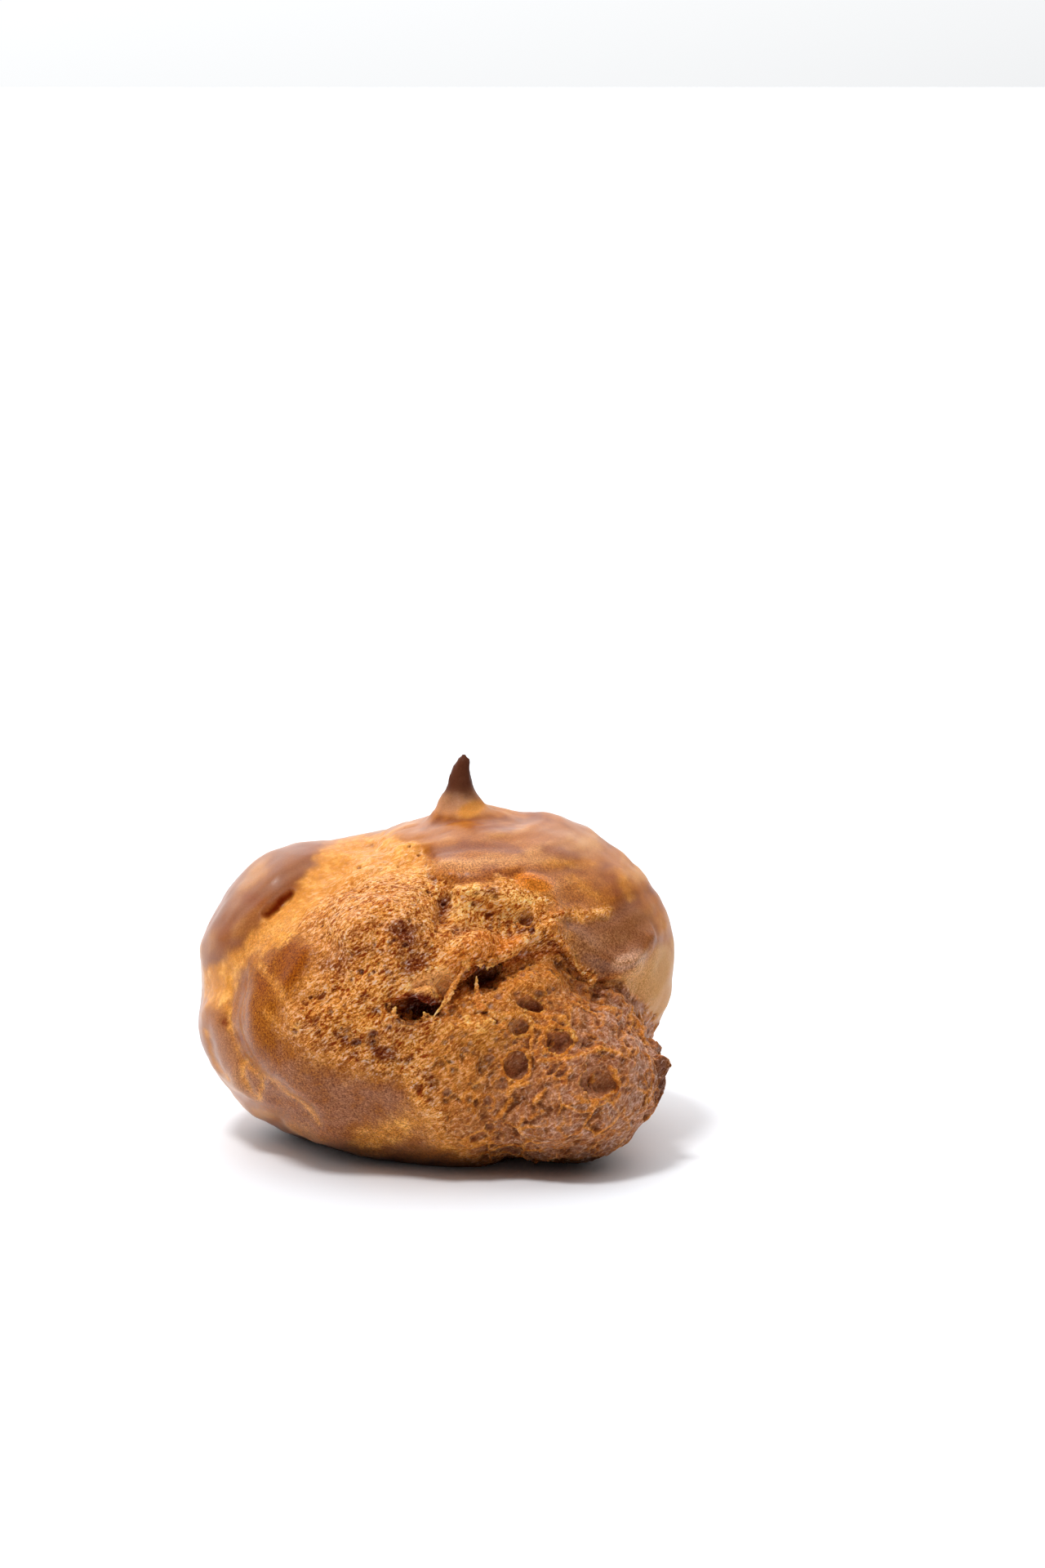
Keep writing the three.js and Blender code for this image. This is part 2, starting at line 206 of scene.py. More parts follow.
# Burst bubbles: middle, half sizes, depth and rim height in millimetres, and tilt in degrees.
BUBBLES = {
    "with a deeper cell": (683, 1274, 19, 18, 1.0, 0.35, 0),
    "deeper cell": (676, 1275, 5, 6, 0.7, 0.2, 0),
    "cell above it": (686, 1257, 9, 7, 0.6, 0.2, 0),
    "half open": (632, 1304, 17, 18, 1.0, 0.35, 0),
    "under the half open one": (614, 1327, 10, 8, 0.5, 0.15, 0),
    "small": (599, 1296, 7, 6, 0.5, 0.15, 0),
    "wide": (724, 1322, 30, 23, 0.6, 0.12, -10),
    "hole in the wide one": (724, 1323, 6, 6, 0.7, 0.2, 0),
    "under the crevice": (634, 1256, 16, 13, 0.7, 0.3, 0),
    "slanted": (644, 1228, 22, 11, 1.0, 0.35, -28),
    "above the slanted one": (660, 1217, 7, 6, 0.7, 0.2, 0),
    "beside the slanted one": (666, 1236, 4, 4, 0.6, 0.1, 0),
    "torn hole under the lip": (590, 1192, 21, 12, 1.8, 0.15, 10),
    "in the brow": (644, 1124, 12, 10, 1.0, 0.4, 0),
    "under the one in the brow": (651, 1138, 5, 6, 0.6, 0.1, 0),
    "under the torn hole": (497, 1249, 15, 7, 0.6, 0.2, 0),
    "upper": (555, 1113, 7, 6, 0.4, 0.1, 0),
    "left": (424, 1260, 7, 6, 0.6, 0.12, 0),
    "left deep": (455, 1266, 8, 6, 0.7, 0.12, 0),
    "left small": (475, 1258, 5, 4, 0.5, 0.1, 0),
    "left low": (436, 1276, 8, 5, 0.6, 0.1, 10),
    "long": (688, 1313, 11, 5, 0.9, 0.15, 35),
    "narrow": (677, 1310, 10, 4, 0.7, 0.1, 50),
    "right": (732, 1253, 5, 4, 0.6, 0.08, 0),
    "right high": (757, 1241, 4, 4, 0.6, 0.08, 0),
    "right far": (769, 1254, 4, 5, 0.6, 0.08, 0),
    "right long": (760, 1265, 5, 8, 0.6, 0.08, 0),
    "right slit": (752, 1344, 8, 4, 0.6, 0.1, 40),
    "right low slit": (747, 1388, 7, 3, 0.6, 0.08, 50),
}
# Thin golden ridges over the burst lobe.
WEB_LINES = (
    ((660, 1298), (690, 1297), (715, 1291), (736, 1284), (762, 1291)),
    ((626, 1347), (616, 1361), (607, 1369)),
    ((668, 1334), (655, 1348)),
    ((662, 1361), (650, 1368)),
    ((606, 1246), (640, 1239), (668, 1247), (692, 1246)),
    ((610, 1208), (640, 1204), (664, 1208)),
    ((646, 1326), (630, 1329), (622, 1340)),
)
# The open hole's shelf, both floors' depths under their rims in millimetres, the rims' places, and the shade.
HOLE_SHELF = (478, 512)
SHELF_DEPTH, SHELF_DROP = 1.6, 6
LIP_HOLE_DEPTH = 2.4
HOLE_REACH = 12
HOLE_RIM = (1.1, 1.4)
HOLE_EDGE = 1.3
HOLE_SHADE = (-0.6, -0.1)
TORN_HOLES = {"open": (509, 1229, 37, 15, -3), "under the lip": (590, 1193, 26, 16, 20)}
FOLD_SLIT = (341, 1108, 28, 9, 40)
SLIT_LINE = ((357, 1094), (347, 1102), (338, 1112), (328, 1120))

# Strands of torn skin that lie on the face.
STRANDS = (
    ((552, 1090), (557, 1108), (552, 1126)),
    ((592, 1112), (589, 1130), (580, 1146)),
    ((606, 1110), (608, 1130), (604, 1148)),
    ((620, 1108), (616, 1130), (619, 1152)),
    ((632, 1106), (628, 1130), (632, 1150)),
    ((544, 1140), (556, 1132), (568, 1126)),
)
# Shreds that stand off the face: places from the root on, each with the half width there.
SHREDS = (
    ((570, 1178, 4), (564, 1193, 1.8), (557, 1205, 3.4), (550, 1218, 4.4), (543, 1230, 2), (530, 1247, 1)),
    ((588, 1238, 12), (586, 1226, 8), (584, 1214, 3.4), (583, 1204, 2), (584, 1195, 0.8)),
    ((568, 1170, 8), (571, 1180, 5), (575, 1188, 1)),
    ((586, 1172, 7), (588, 1180, 4), (589, 1185, 1)),
    ((598, 1172, 7), (598, 1181, 4.5), (597, 1189, 1)),
    ((608, 1168, 6), (606, 1177, 4), (603, 1185, 1)),
    ((498, 1250, 6), (502, 1242, 4), (503, 1236, 1)),
    ((484, 1247, 6), (482, 1240, 3.5), (485, 1233, 1)),
    ((520, 1250, 6), (521, 1244, 4), (519, 1239, 1)),
)
SHRED_SEED = 81
SHRED_SIDES = 8
SHRED_STEPS = 18
SHRED_FLATNESS = 0.4
SHRED_WIDTHS = (0.7, 1.3)
SHRED_JITTER = 0.2
SHRED_SINK = 0.15
SHRED_GAP = 3
SHRED_FINISH = {"gloss": 0.4, "sharp": 1, "glaze": 0.6, "foam": 0}

# Border of the burst skin: how soft and how ragged it is, in pixels, and where it softens towards the rolls.
BURST_SOFT, BURST_SOFTER = 7, 40
BURST_WAVER = 9
ROLL_SIDE = (420, 530)
FOOT_SIDE = (1310, 1360)
LOBE_SIDE = (590, 650)

# Bands and zones: half width or softness, waver in pixels, and seed. The wavers' waves are in millimetres.
BAND_WAVE, ZONE_WAVE = 2.0, 2.5
LOBE_ZONE = (BURST_LOBE, 18, 9, 12)
CRESCENT_ZONE = (CRESCENT_ROLL, 30, 8, 54)
LIP_BAND = (LIP_BORDER, 7, 4, 56)
CREVICE_BAND = (CREVICE, 3.5, 1.5, 14)
STRAND_BAND = (2.5, 2.5, 27)
WEB_BAND = (3.2, 2, 90)
# The same for lines that are pressed in or raised, with their rise in millimetres.
FOLD_LINES = (
    (LOWER_FOLD, 4, 2, 13, -0.25), (LIP_LINE, 3, 2.5, 20, -0.6), (SLIT_LINE, 4, 2, 75, -0.9),
    (FLAP, 9, 3, 15, 1.0), *((crack, 4, 2, 18, -0.2) for crack in LOBE_CRACKS),
)
# The same for golden lines, with their strength.
GOLDEN_LINES = (
    (LOWER_FOLD, 3, 2, 57, 0.6), (BOTTOM_STRIP, 16, 9, 58, 0.75),
    *((crack, 3, 2, 66, 0.7) for crack in LOBE_CRACKS),
    *((line, 5, 4, 67, 0.45) for line in ROLL_STREAKS + CROWN_STREAKS),
)

# Relief and fields made by noise: height, wave in millimetres, seed and octaves.
RELIEF = {
    "billows": (0.25, 7, 17, 2), "crown streaks": (1, 4.5, 61, 3), "roll streaks": (1, 5, 64, 3),
    "ragged lip": (1, 0.9, 28, 1), "crumbs": (1, 1.0, 99, 1), "fine crumbs": (0.4, 0.5, 100, 1),
    "torn lumps": (0.65, 4.2, 21, 2), "torn ridges": (0.09, 2.0, 22, 2),
    "lobe lumps": (0.5, 5.0, 25, 3), "lobe ridges": (0.16, 2.2, 26, 2),
    "uneven bubbles": (0.16, 1.3, 31, 1), "finer unevenness": (0.1, 0.6, 32, 1),
    "broken rims": (1, 2.0, 33, 1),
    "teeth": (0.55, 1.1, 71, 1), "fine teeth": (0.4, 0.5, 72, 1),
    "patches of web": (1, 6, 95, 1), "veins": (1, 3.2, 96, 1), "patches of veins": (1, 3, 97, 1),
    "patches of flakes": (1, 4, 46, 2), "torn grain": (0.035, 1.0, 41, 2),
    "torn specks": (0.025, 0.55, 42, 1), "lobe grain": (0.05, 1.0, 43, 2), "ragged burst": (1, 3.0, 11, 5),
    "broad": (1, 9, 51, 4), "mottle": (1, 1.8, 52, 4), "fine": (1, 0.7, 53, 2), "slant": (1, 3.4, 98, 1),
}
# Other rises, in millimetres.
RISES = {
    "burst skin": -0.25, "crown lip": 0.3, "crevice": -1.2, "crevice's right end": 0.8, "lip border": 0.8,
    "shoulder lip": 1.0, "membrane": -0.8, "blister": 0.5, "streaks": 0.2, "notch": -0.35, "crumbs": 0.6,
    "strands": 0.15, "walls": 0.3, "veins": 0.12, "flakes": 0.03, "flake borders": 0.035,
}
BURST_STEP = (430, 530)
CROWN_LIP_OUT, CROWN_LIP_WIDTH, CROWN_LIP_END = 8, 9, 1140
CROWN_LIP_SIDE = (575, 610)
CREVICE_EASE = (605, 625)
# Swells along the top: middle and half width in pixels, heights where they set in and rise in millimetres.
TOP_SWELLS = {"saddle": (430, 30, (33, 36), 0.8), "dip beside the peak": (632, 32, (37, 40), -0.8)}
# How far the floors of the solid's bubbles are brought up.
BUBBLE_FILL = 0.3

# Wrinkles in the glaze: the point they turn about, their stretch, and where the crown begins, in millimetres.
CROWN_MIDDLE = (3, 1)
CROWN_STRETCH = (5, 1.4, 1.4)
ROLL_STRETCH = (1.1, 0.35, 0.5)
CROWN_HEIGHTS, CROWN_SIDE = (24, 32), (-14, -8)
# The slant of the torn face's relief, and its stretch along and across that.
SLANT_RUN, SLANT_RISE = 0.82, 0.57
SLANT_STRETCH = (0.65, 1.15)

# Bubbles: shape of their rims, how deep the upper left is against the lower right, and how rims break.
RIM_PLACE = 1.08
UPPER_LEFT = 0.4
SIDE_LEAN, SIDE_ENDS = (0.8, 0.6), (-0.8, 0.8)
BROKEN_LEAST = 0.5
FULL_RIM = 0.25
# Strewn dimples and pores: how many, radii in millimetres and seed, then depth for the radius and rim.
LOBE_DIMPLES, LOBE_DIMPLE_BOWL = (110, (0.25, 0.7), 34), (0.7, 0.1)
FACE_PORES, FACE_PORE_BOWL = (80, (0.22, 0.55), 35), (1.0, 0.06)
DIMPLE_GAP = 0.85
DIMPLE_TRIES = 12

# Webs and flakes: how far their cells are bent, by which wave and seed, and the cells' size and seed.
WEB_BEND, WEB_CELLS = (0.5, 2.5, 91), (3.6, 94)
FLAKE_BENDS, FLAKE_CELLS = (0.3, 0.8, 47), (0.8, 45)
LOBE_FLAKES = 0.5
SMOOTH_FLAP, SMOOTH_MEMBRANE, SMOOTH_BOWL = 0.2, 0.8, 0.45

# Grain in the material: its slant across the front and its stretch along and across that.
GRAIN_SLANT = math.radians(35)
GRAIN_STRETCH = (2.0, 1.1, 0.8)
GRAIN_SWIRL = 0.4
GRAIN_DETAIL = 3
GRAIN_ENDS = (0.38, 0.62)
# Each grain's size in millimetres, and its roughness.
GRAINS = {"wrinkle": (0.36, 0.9), "suede": (0.24, 0.8), "swirl": (0.5, 0.6), "fold": (0.65, 0.6)}
MIDDLE = (0.5, 0.5, 0.5)
FLAKE_SIZE = 0.36
FLAKE_BEND = 0.5
FLAKE_TURN = 0.5
FLAKE_SHARE = 0.3
CREASE_WIDTH = 0.12
CREASE_SHADE = 0.6
FOLD_WIDTH = 0.12
FOLD_SHARE = 0.4
LEVEL_ENDS = (0.26, 0.74)
FOAM_SIZE = 1.0
FOAM_BEND = 0.8
FOAM_WALL = 0.14
FOAM_SHARE = 0.6
FOAM_WRINKLE = 0.4
# Painted glints in the base colour: their colour, the crest level they begin at and their strength.
GLINT = (0.7, 0.54, 0.48, 1)
GLINT_LEVEL, GLINT_SHARE = 0.75, 0.7
COAT_LEVELS = (0.45, 0.8)
BUMP_HEIGHT = 0.35 * MM
BUMP_SHARE = 0.5
TORN_BUMP, GLAZE_BUMP = 0.6, 0.03
CRUST_SURFACE = {
    "Subsurface Weight": 0.25, "Subsurface Radius": (1.0, 0.35, 0.12), "Subsurface Scale": 0.9 * MM,
    "Specular IOR Level": 0.04, "Roughness": 0.35, "Coat Roughness": 0.28, "Coat IOR": 1.5,
}
# Tints from the gaps of the grain to its crests, as half shares of the tone: partly the grain's own mottling,
# partly painted shade in the gaps and painted sheen on the crests.
TORN_TINTS = ((0.2, 0.06, 0.006), (0.56, 0.52, 0.43), (1.0, 1.16, 1.42))
GLAZE_TINTS = ((0.22, 0.15, 0.06), (0.5, 0.5, 0.5), (0.86, 0.96, 1.12))

# Studio: the sky brightens towards this lean, and the key comes from above on the left.
SKY_COLOUR = (0.98, 0.99, 1, 1)
SKY_LEAN = (-0.15, 0.55, 0.82)
SKY_RAMP = (0.2, 0.92)
SKY_DIM = 0.1
SKY_BRIGHT = 1.9
KEY_FROM = (-0.24, -0.29, 0.93)
KEY_STRENGTH = 1.6
KEY_SPREAD = math.radians(12)
FLOOR_SIZE = 40
FLOOR_COLOUR = (0.87, 0.9, 0.94, 1)
FLOOR_ROUGHNESS = 0.6

# Crust colours, as sRGB from 0 to 255.
GLAZE = (176, 102, 36)
GLAZE_DARK = (128, 62, 20)
GLAZE_PALE = (206, 140, 74)
ROLL = (142, 74, 4)
ROLL_DARK = (154, 96, 62)
LEFT_LOBE = (160, 98, 54)
GOLD = (224, 146, 58)
GOLD_PALE = (252, 186, 98)
CRUMB = (220, 146, 66)
CRUMB_DARK = (122, 52, 8)
CRUMB_PURPLE = (148, 88, 62)
ORANGE_CRUMB = (216, 138, 54)
LOBE = (178, 114, 66)
LOBE_DARK = (104, 56, 28)
LOBE_GREY = (184, 136, 112)
RUST = (216, 136, 56)
WALL = (206, 150, 92)
SHOULDER = (128, 78, 50)
UPPER_ROLL = (140, 82, 48)
# Painted shade in the slit and the holes, and the holes' painted lit floor.
SLIT = (122, 40, 6)
HOLE = (112, 42, 10)
HOLE_LIT = (204, 110, 36)
FLAP_SKIN_TONE = (218, 124, 28)
MEMBRANE_TONE = (232, 158, 84)
BLISTER_TONE = (206, 116, 30)
# Laid on the foot: partly browning, partly painted shade.
FOOT_BROWN_AND_SHADE = (54, 26, 10)
SHRED = (236, 166, 82)
BURNT = (92, 50, 32)
PEAK_ROOT = (208, 150, 108)
BUBBLE = (186, 122, 78)
STROKE = (142, 72, 26)
ROLL_DEEP = (136, 64, 0)
# A painted sheen for the shoulder's lower edge.
RIM_SHEEN = (206, 152, 112)

# Patterns: the weights of the fields they are made of, the levels they begin and end at, and their strength.
# Painted light and shade on the torn face: crumbs raised above their surroundings are laid paler and hollow
# ones darker, with the crumb's own mottle.
LIT = {"mottle": 0.6, "fine": 0.6, "hollow": -7, "brow": 0.5}
PATTERNS = {
    # Pale on the raised glaze wrinkles and darker between them: partly the glaze's own streaks, partly
    # painted sheen and painted shade.
    "pale streaks": ({"streak": 1, "broad": 0.4, "fine": 0.2}, (0.0, 0.9), 0.8),
    "dark streaks": ({"streak": -1, "broad": -0.6, "mottle": 0.3}, (0.0, 0.9), 0.75),
    # The crescent's lower part laid greyer: partly its own purple-brown, partly painted reflection of the
    # floor.
    "dark roll": ({"mottle": 0.7, "broad": 0.5, "low": 1}, (0.3, 1.4), 0.8),
    "upper roll": ({"streak": -0.5}, (-0.75, 0.25), 1),
    "valleys": ({"valley": 1}, (0.1, 0.5), 1),
    "pale gold": ({"fine": 1, "mottle": 1}, (0.1, 0.9), 0.5),
    "lit crumb": (LIT, (0.0, 0.6), 0.9),
    "bright crumb": (LIT, (0.5, 1.2), 0.75),
    "dark crumb": ({"hollow": 7, "mottle": -0.7, "broad": 0.3, "brow": -0.4}, (0.1, 0.8), 0.9),
    "purple crumb": ({"slant": 1, "mottle": 0.5, "fine": 0.3, "brow": -0.35}, (0.1, 0.7), 0.55),
    "pale brow": ({"mottle": 1}, (-0.5, 0.3), 0.7),
    # On the lobe, the grey lower right is partly painted reflection of the floor, the dark hollows partly
    # painted shade, and rust and gold on raised parts partly painted light.
    "grey lobe": ({"mottle": -1, "upper": -1.6}, (-0.5, 0.3), 1),
    "dark lobe": ({"mottle": 1, "hollow": 7}, (0.0, 0.9), 0.85),
    "rusty lobe": ({"fine": 0.5, "hollow": -8}, (0.1, 0.8), 0.35),
    "golden lobe": ({"fine": 0.7, "hollow": -8}, (0.4, 1.1), 1),
    "golden walls": ({"walls": 1}, (0.5, 0.9), 0.7),
    "dark pits": ({"pit": 1}, (0.2, 0.9), 0.5),
    "bowls": ({"pit": 1}, (0.1, 0.5), 0.7),
    "shaded bowls": ({"shade": 1}, (0.2, 0.9), 0.4),
    "rusty rims": ({"rims": 1}, (0.1, 0.6), 0.9),
    "orange rims": ({"rims": 1}, (0.15, 0.5), 0.95),
    "pale rims": ({"rims": 1}, (0.4, 0.8), 0.7),
    "parts of rims": ({"fine": 1}, (-0.4, 0.2), 1),
    "peak root": ({"height": 1}, (40.5, 42.0), 0.8),
    "burnt peak": ({"height": 1, "mottle": 0.5}, (41.2, 44.6), 1),
    "burnt edge": ({"x": 1}, (796, 812), 0.8),
    "dark base": ({"height": -1, "mottle": -0.8}, (-5, -0.5), 0.7),
    "sharp front": ({"depth": -1}, (6, 18), 0.88),
    "sharp back": ({"depth": 1}, (10, 20), 0.8),
    "dull root": ({"height": 1}, (39.6, 41), 0.6),
    "dull right": ({"x": 1}, (680, 790), 0.4),
    "front": ({"depth": -1}, (-12, 0), 1),
    "back": ({"depth": 1}, (0, 12), 1),
    "dull spots": ({"mottle": 1, "broad": 1}, (0, 0.8), 0.35),
    "shine below": ({"y": 1}, (1270, 1330), 0.4),
    "shine at the left": ({"x": -1}, (-314, -292), 0.8),
}
# Coats laid by pattern, in this order.
TORN_COATS = (
    (GOLD, "lit crumb"), (GOLD_PALE, "bright crumb"), (CRUMB_DARK, "dark crumb"),
    (CRUMB_PURPLE, "purple crumb"),
)
# Painted shade in the torn face's pits and under the bubbles' lower right rims, beside the bowls', walls' and
# rims' own colours.
BUBBLE_COATS = (
    ("lobe", GOLD, "golden walls"), ("torn", CRUMB_DARK, "dark pits"), ("lobe", BUBBLE, "bowls"),
    ("burst", LOBE_DARK, "shaded bowls"), ("burst", RUST, "rusty rims"),
    ("burst", ORANGE_CRUMB, "orange rims"),
)
# Where the crescent roll gets lower, the brow begins, and the lobe is orange or grey, across sloping lines.
# The crescent's greyer lower part and the lobe's grey lower right are partly painted reflection of the floor;
# the lobe's orange upper left is partly painted light.
LOW_ENDS, BROW_ENDS = (1250, 1350), (1060, 1140)
UPPER_SLOPE, UPPER_ENDS = 0.8, (1582, 1732)
GREY_SLOPE, GREY_ENDS = 0.4, (1140, 1300)
# Least and greatest strengths.
GREY_SHARE, GOLDEN_SHARE, WEB_SHARE = (0.35, 0.95), (0.4, 0.8), (0.5, 0.8)
GOLD_EVEN, GOLD_FINE, GOLD_MOTTLE = 0.85, 0.35, 0.2
# How uneven the edges of patches are: pale and dark patches, deep spots of the roll, and single spots.
PATCH_MOTTLE, PATCH_FINE, DEEP_MOTTLE, SPOT_MOTTLE = (0.4, 0.5), 0.3, 0.3, 0.2
WALL_WAVER, WALL_TURN_WAVER = 6, 0.15
# Finish: how far gold and gloss go together, the least sharpness, and what adds to the shine or dulls it.
GOLD_DULLS, SMOOTH_GLOSS = 0.25, 0.8
SHARP_LEAST, LOBE_BLUR = 0.12, 0.25
SHINE = {"all": 0.6, "rim": 0.4, "wall": -0.45, "golden": -0.35, "crescent": -0.57}
UPPER_FOAM = 0.7


def linear(colour):
    share = np.array(colour) / 255
    return np.where(share <= 0.04045, share / 12.92, ((share + 0.055) / 1.055) ** 2.4)


def ramp(values, low, high):
    share = np.clip((values - low) / (high - low), 0, 1)
    return share * share * (3 - 2 * share)


def bell(distance, width):
    return np.exp(-((distance / width) ** 2))


def between(ends, share):
    return ends[0] + (ends[1] - ends[0]) * share


# Seeded noise

def hashed(cells, table):
    size = len(table)
    key = np.zeros(len(cells), int)
    for axis in range(3):
        key = table[(key + cells[:, axis]) % size]
    return key


def noise(points, wave, seed):
    """Gradient noise from about -1 to 1."""
    draw = np.random.default_rng(seed)
    table = draw.permutation(NOISE_SIZE)
    slopes = draw.normal(size=(NOISE_SIZE, 3))
    slopes /= np.linalg.norm(slopes, axis=1, keepdims=True)
    place = points / wave
    cell = np.floor(place).astype(int)
    inner = place - cell
    fade = inner**3 * (inner * (inner * 6 - 15) + 10)
    total = np.zeros(len(points))
    for corner in itertools.product((0, 1), repeat=3):
        side = np.array(corner)
        weight = np.prod(np.where(side, fade, 1 - fade), axis=1)
        total += weight * np.sum(slopes[hashed(cell + side, table)] * (inner - side), axis=1)
    return total * NOISE_GAIN


def layered(points, wave, seed, octaves=4):
    return sum(noise(points, wave / 2**i, seed + i) / 2**i for i in range(octaves))


def ridged(points, wave, seed, octaves=3):
    return sum((1 - 2 * np.abs(noise(points, wave / 2**i, seed + i))) / 2**i for i in range(octaves))


def relief(name, points, kind=layered):
    height, wave, seed, octaves = RELIEF[name]
    return height * kind(points, wave, seed, octaves)


def bent(points, amount, wave, seed):
    """Points shifted to and fro by noise."""
    return points + amount * np.stack([noise(points, wave, seed + axis) for axis in range(3)], axis=1)


def cells(points, wave, seed):
    """Cells round points strewn one to a grid step: distance to the border, and a random slant's height."""
    draw = np.random.default_rng(seed)
    table = draw.permutation(NOISE_SIZE)
    jitter = draw.random((NOISE_SIZE, 3))
    slants = draw.normal(size=(NOISE_SIZE, 3))
    place = points / wave
    corner = np.floor(place).astype(int)
    first = np.full(len(points), np.inf)
    second = np.full(len(points), np.inf)
    height = np.zeros(len(points))
    for step in itertools.product((-1, 0, 1), repeat=3):
        owner = hashed(corner + np.array(step), table)
        offset = place - corner - np.array(step) - jitter[owner]
        distance = np.linalg.norm(offset, axis=1)
        height = np.where(distance < first, np.sum(offset * slants[owner], axis=1), height)
        second = np.minimum(second, np.maximum(first, distance))
        first = np.minimum(first, distance)
    return second - first, height


# Camera

def add(name, data):
    piece = bpy.data.objects.new(name, data)
    bpy.context.scene.collection.objects.link(piece)
    return piece


def make_camera():
    data = bpy.data.cameras.new("camera")
    data.lens = LENS
    data.sensor_width = SENSOR
    camera = add("camera", data)
    camera.location = AIM + CAMERA_DISTANCE * Vector((0, -math.cos(VIEW_TILT), math.sin(VIEW_TILT)))
    camera.rotation_euler = (math.pi / 2 - VIEW_TILT + PITCH_TRIM, 0, YAW_TRIM)
    bpy.context.scene.camera = camera
    return camera


camera = make_camera()
eye = np.array(camera.location)
eye_axes = np.array(Euler(camera.rotation_euler).to_matrix())


def to_pixels(points):
    local = (points - eye) @ eye_axes
    return np.stack((
        IMAGE_WIDTH / 2 - PIXELS_PER_TANGENT * local[:, 0] / local[:, 2],
        IMAGE_HEIGHT / 2 + PIXELS_PER_TANGENT * local[:, 1] / local[:, 2],
    ), axis=1)


# Measures on the picture plane, in pixels

def path_distance(spots, path):
    best = np.full(len(spots), np.inf)
    for start, end in itertools.pairwise(np.array(path, float)):
        run = end - start
        share = np.clip((spots - start) @ run / (run @ run), 0, 1)
        best = np.minimum(best, np.linalg.norm(spots - start - share[:, None] * run, axis=1))
    return best


def depth_inside(spots, corners):
    """Distance to a closed outline, positive inside it."""
    ring = np.array(corners + corners[:1], float)
    inside = np.zeros(len(spots), bool)
    for (x0, y0), (x1, y1) in itertools.pairwise(ring):
        if y0 == y1:
            continue
        crosses = (y0 > spots[:, 1]) != (y1 > spots[:, 1])
        inside ^= crosses & (spots[:, 0] < x0 + (spots[:, 1] - y0) * (x1 - x0) / (y1 - y0))
    return np.where(inside, 1, -1) * path_distance(spots, ring)


def oval_radius(spots, x, y, across, up, tilt):
    """Distance from the middle of an oval, 1 on its edge. Tilt turns it anticlockwise."""
    turn = math.radians(tilt)
    right, down = spots[:, 0] - x, spots[:, 1] - y
    along = right * math.cos(turn) - down * math.sin(turn)
    beside = right * math.sin(turn) + down * math.cos(turn)
    return np.hypot(along / across, beside / up)


def within(spots, oval, reach, soft, waver=0):
    """1 inside an oval, 0 past its reach, where a reach of 1 is its edge."""
    return ramp(reach - oval_radius(spots, *oval) + waver, 0, soft)


# Mesh tools

def read(mesh, attribute):
    values = np.empty(len(mesh.vertices) * 3)
    mesh.vertices.foreach_get(attribute, values)
    return values.reshape(-1, 3)


def write(mesh, points):
    mesh.vertices.foreach_set("co", points.ravel())
    mesh.update()


def edge_ends(mesh):
    ends = np.empty(len(mesh.edges) * 2, int)
    mesh.edges.foreach_get("vertices", ends)
    return ends.reshape(-1, 2)


def neighbour_mean(points, ends):
    count = np.bincount(ends.ravel(), minlength=len(points))
    mean = np.empty_like(points)
    for axis in range(3):
        total = np.bincount(ends[:, 0], points[ends[:, 1], axis], len(points))
        total += np.bincount(ends[:, 1], points[ends[:, 0], axis], len(points))
        mean[:, axis] = total / count
    return mean


def smoothed(points, ends, rounds, regrow=REGROW_STEP):
    for _ in range(rounds):
        for step in (SMOOTH_STEP, regrow):
            points = points + step * (neighbour_mean(points, ends) - points)
    return points


def voxel_skin(node):
    piece = add("crust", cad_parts[node].data.copy())
    even = piece.modifiers.new("even", "REMESH")
    even.mode = "VOXEL"
    even.voxel_size = VOXEL
    mesh = bpy.data.meshes.new_from_object(piece.evaluated_get(bpy.context.evaluated_depsgraph_get()))
    piece.modifiers.clear()
    piece.data = mesh
    mesh.materials.clear()
    points, ends = read(mesh, "co"), edge_ends(mesh)
    body, spire = smoothed(points, ends, SMOOTHING_ROUNDS), smoothed(points, ends, SPIRE_ROUNDS)
    share = ramp(points[:, 2] / MM, *SPIRE_HEIGHTS)[:, None]
    write(mesh, body + share * (spire - body))
    return piece


def facing(points, normals):
    sight = eye - points
    sight /= np.linalg.norm(sight, axis=1, keepdims=True)
    return np.sum(sight * normals, axis=1)


def split_burst_skin(mesh):
    points, normals = read(mesh, "co"), read(mesh, "normal")
    spots = to_pixels(points)
    fine = (depth_inside(spots, BURST_SKIN) > -FINE_MARGIN) | (oval_radius(spots, *FOLD_SLIT) < FINE_SLIT)
    fine &= facing(points, normals) > FINE_FACING
    fine &= points[:, 1] < 0
    bm = bmesh.new()
    bm.from_mesh(mesh)
    bm.verts.ensure_lookup_table()
    faces = [face for face in bm.faces if all(fine[vert.index] for vert in face.verts)]
    edges = {edge for face in faces for edge in face.edges}
    bmesh.ops.subdivide_edges(bm, edges=list(edges), cuts=1, use_grid_fill=True)
    bmesh.ops.triangulate(bm, faces=[face for face in bm.faces if len(face.verts) > 4])
    bm.to_mesh(mesh)
    bm.free()


# Sculpting, in millimetres along the skin's normals

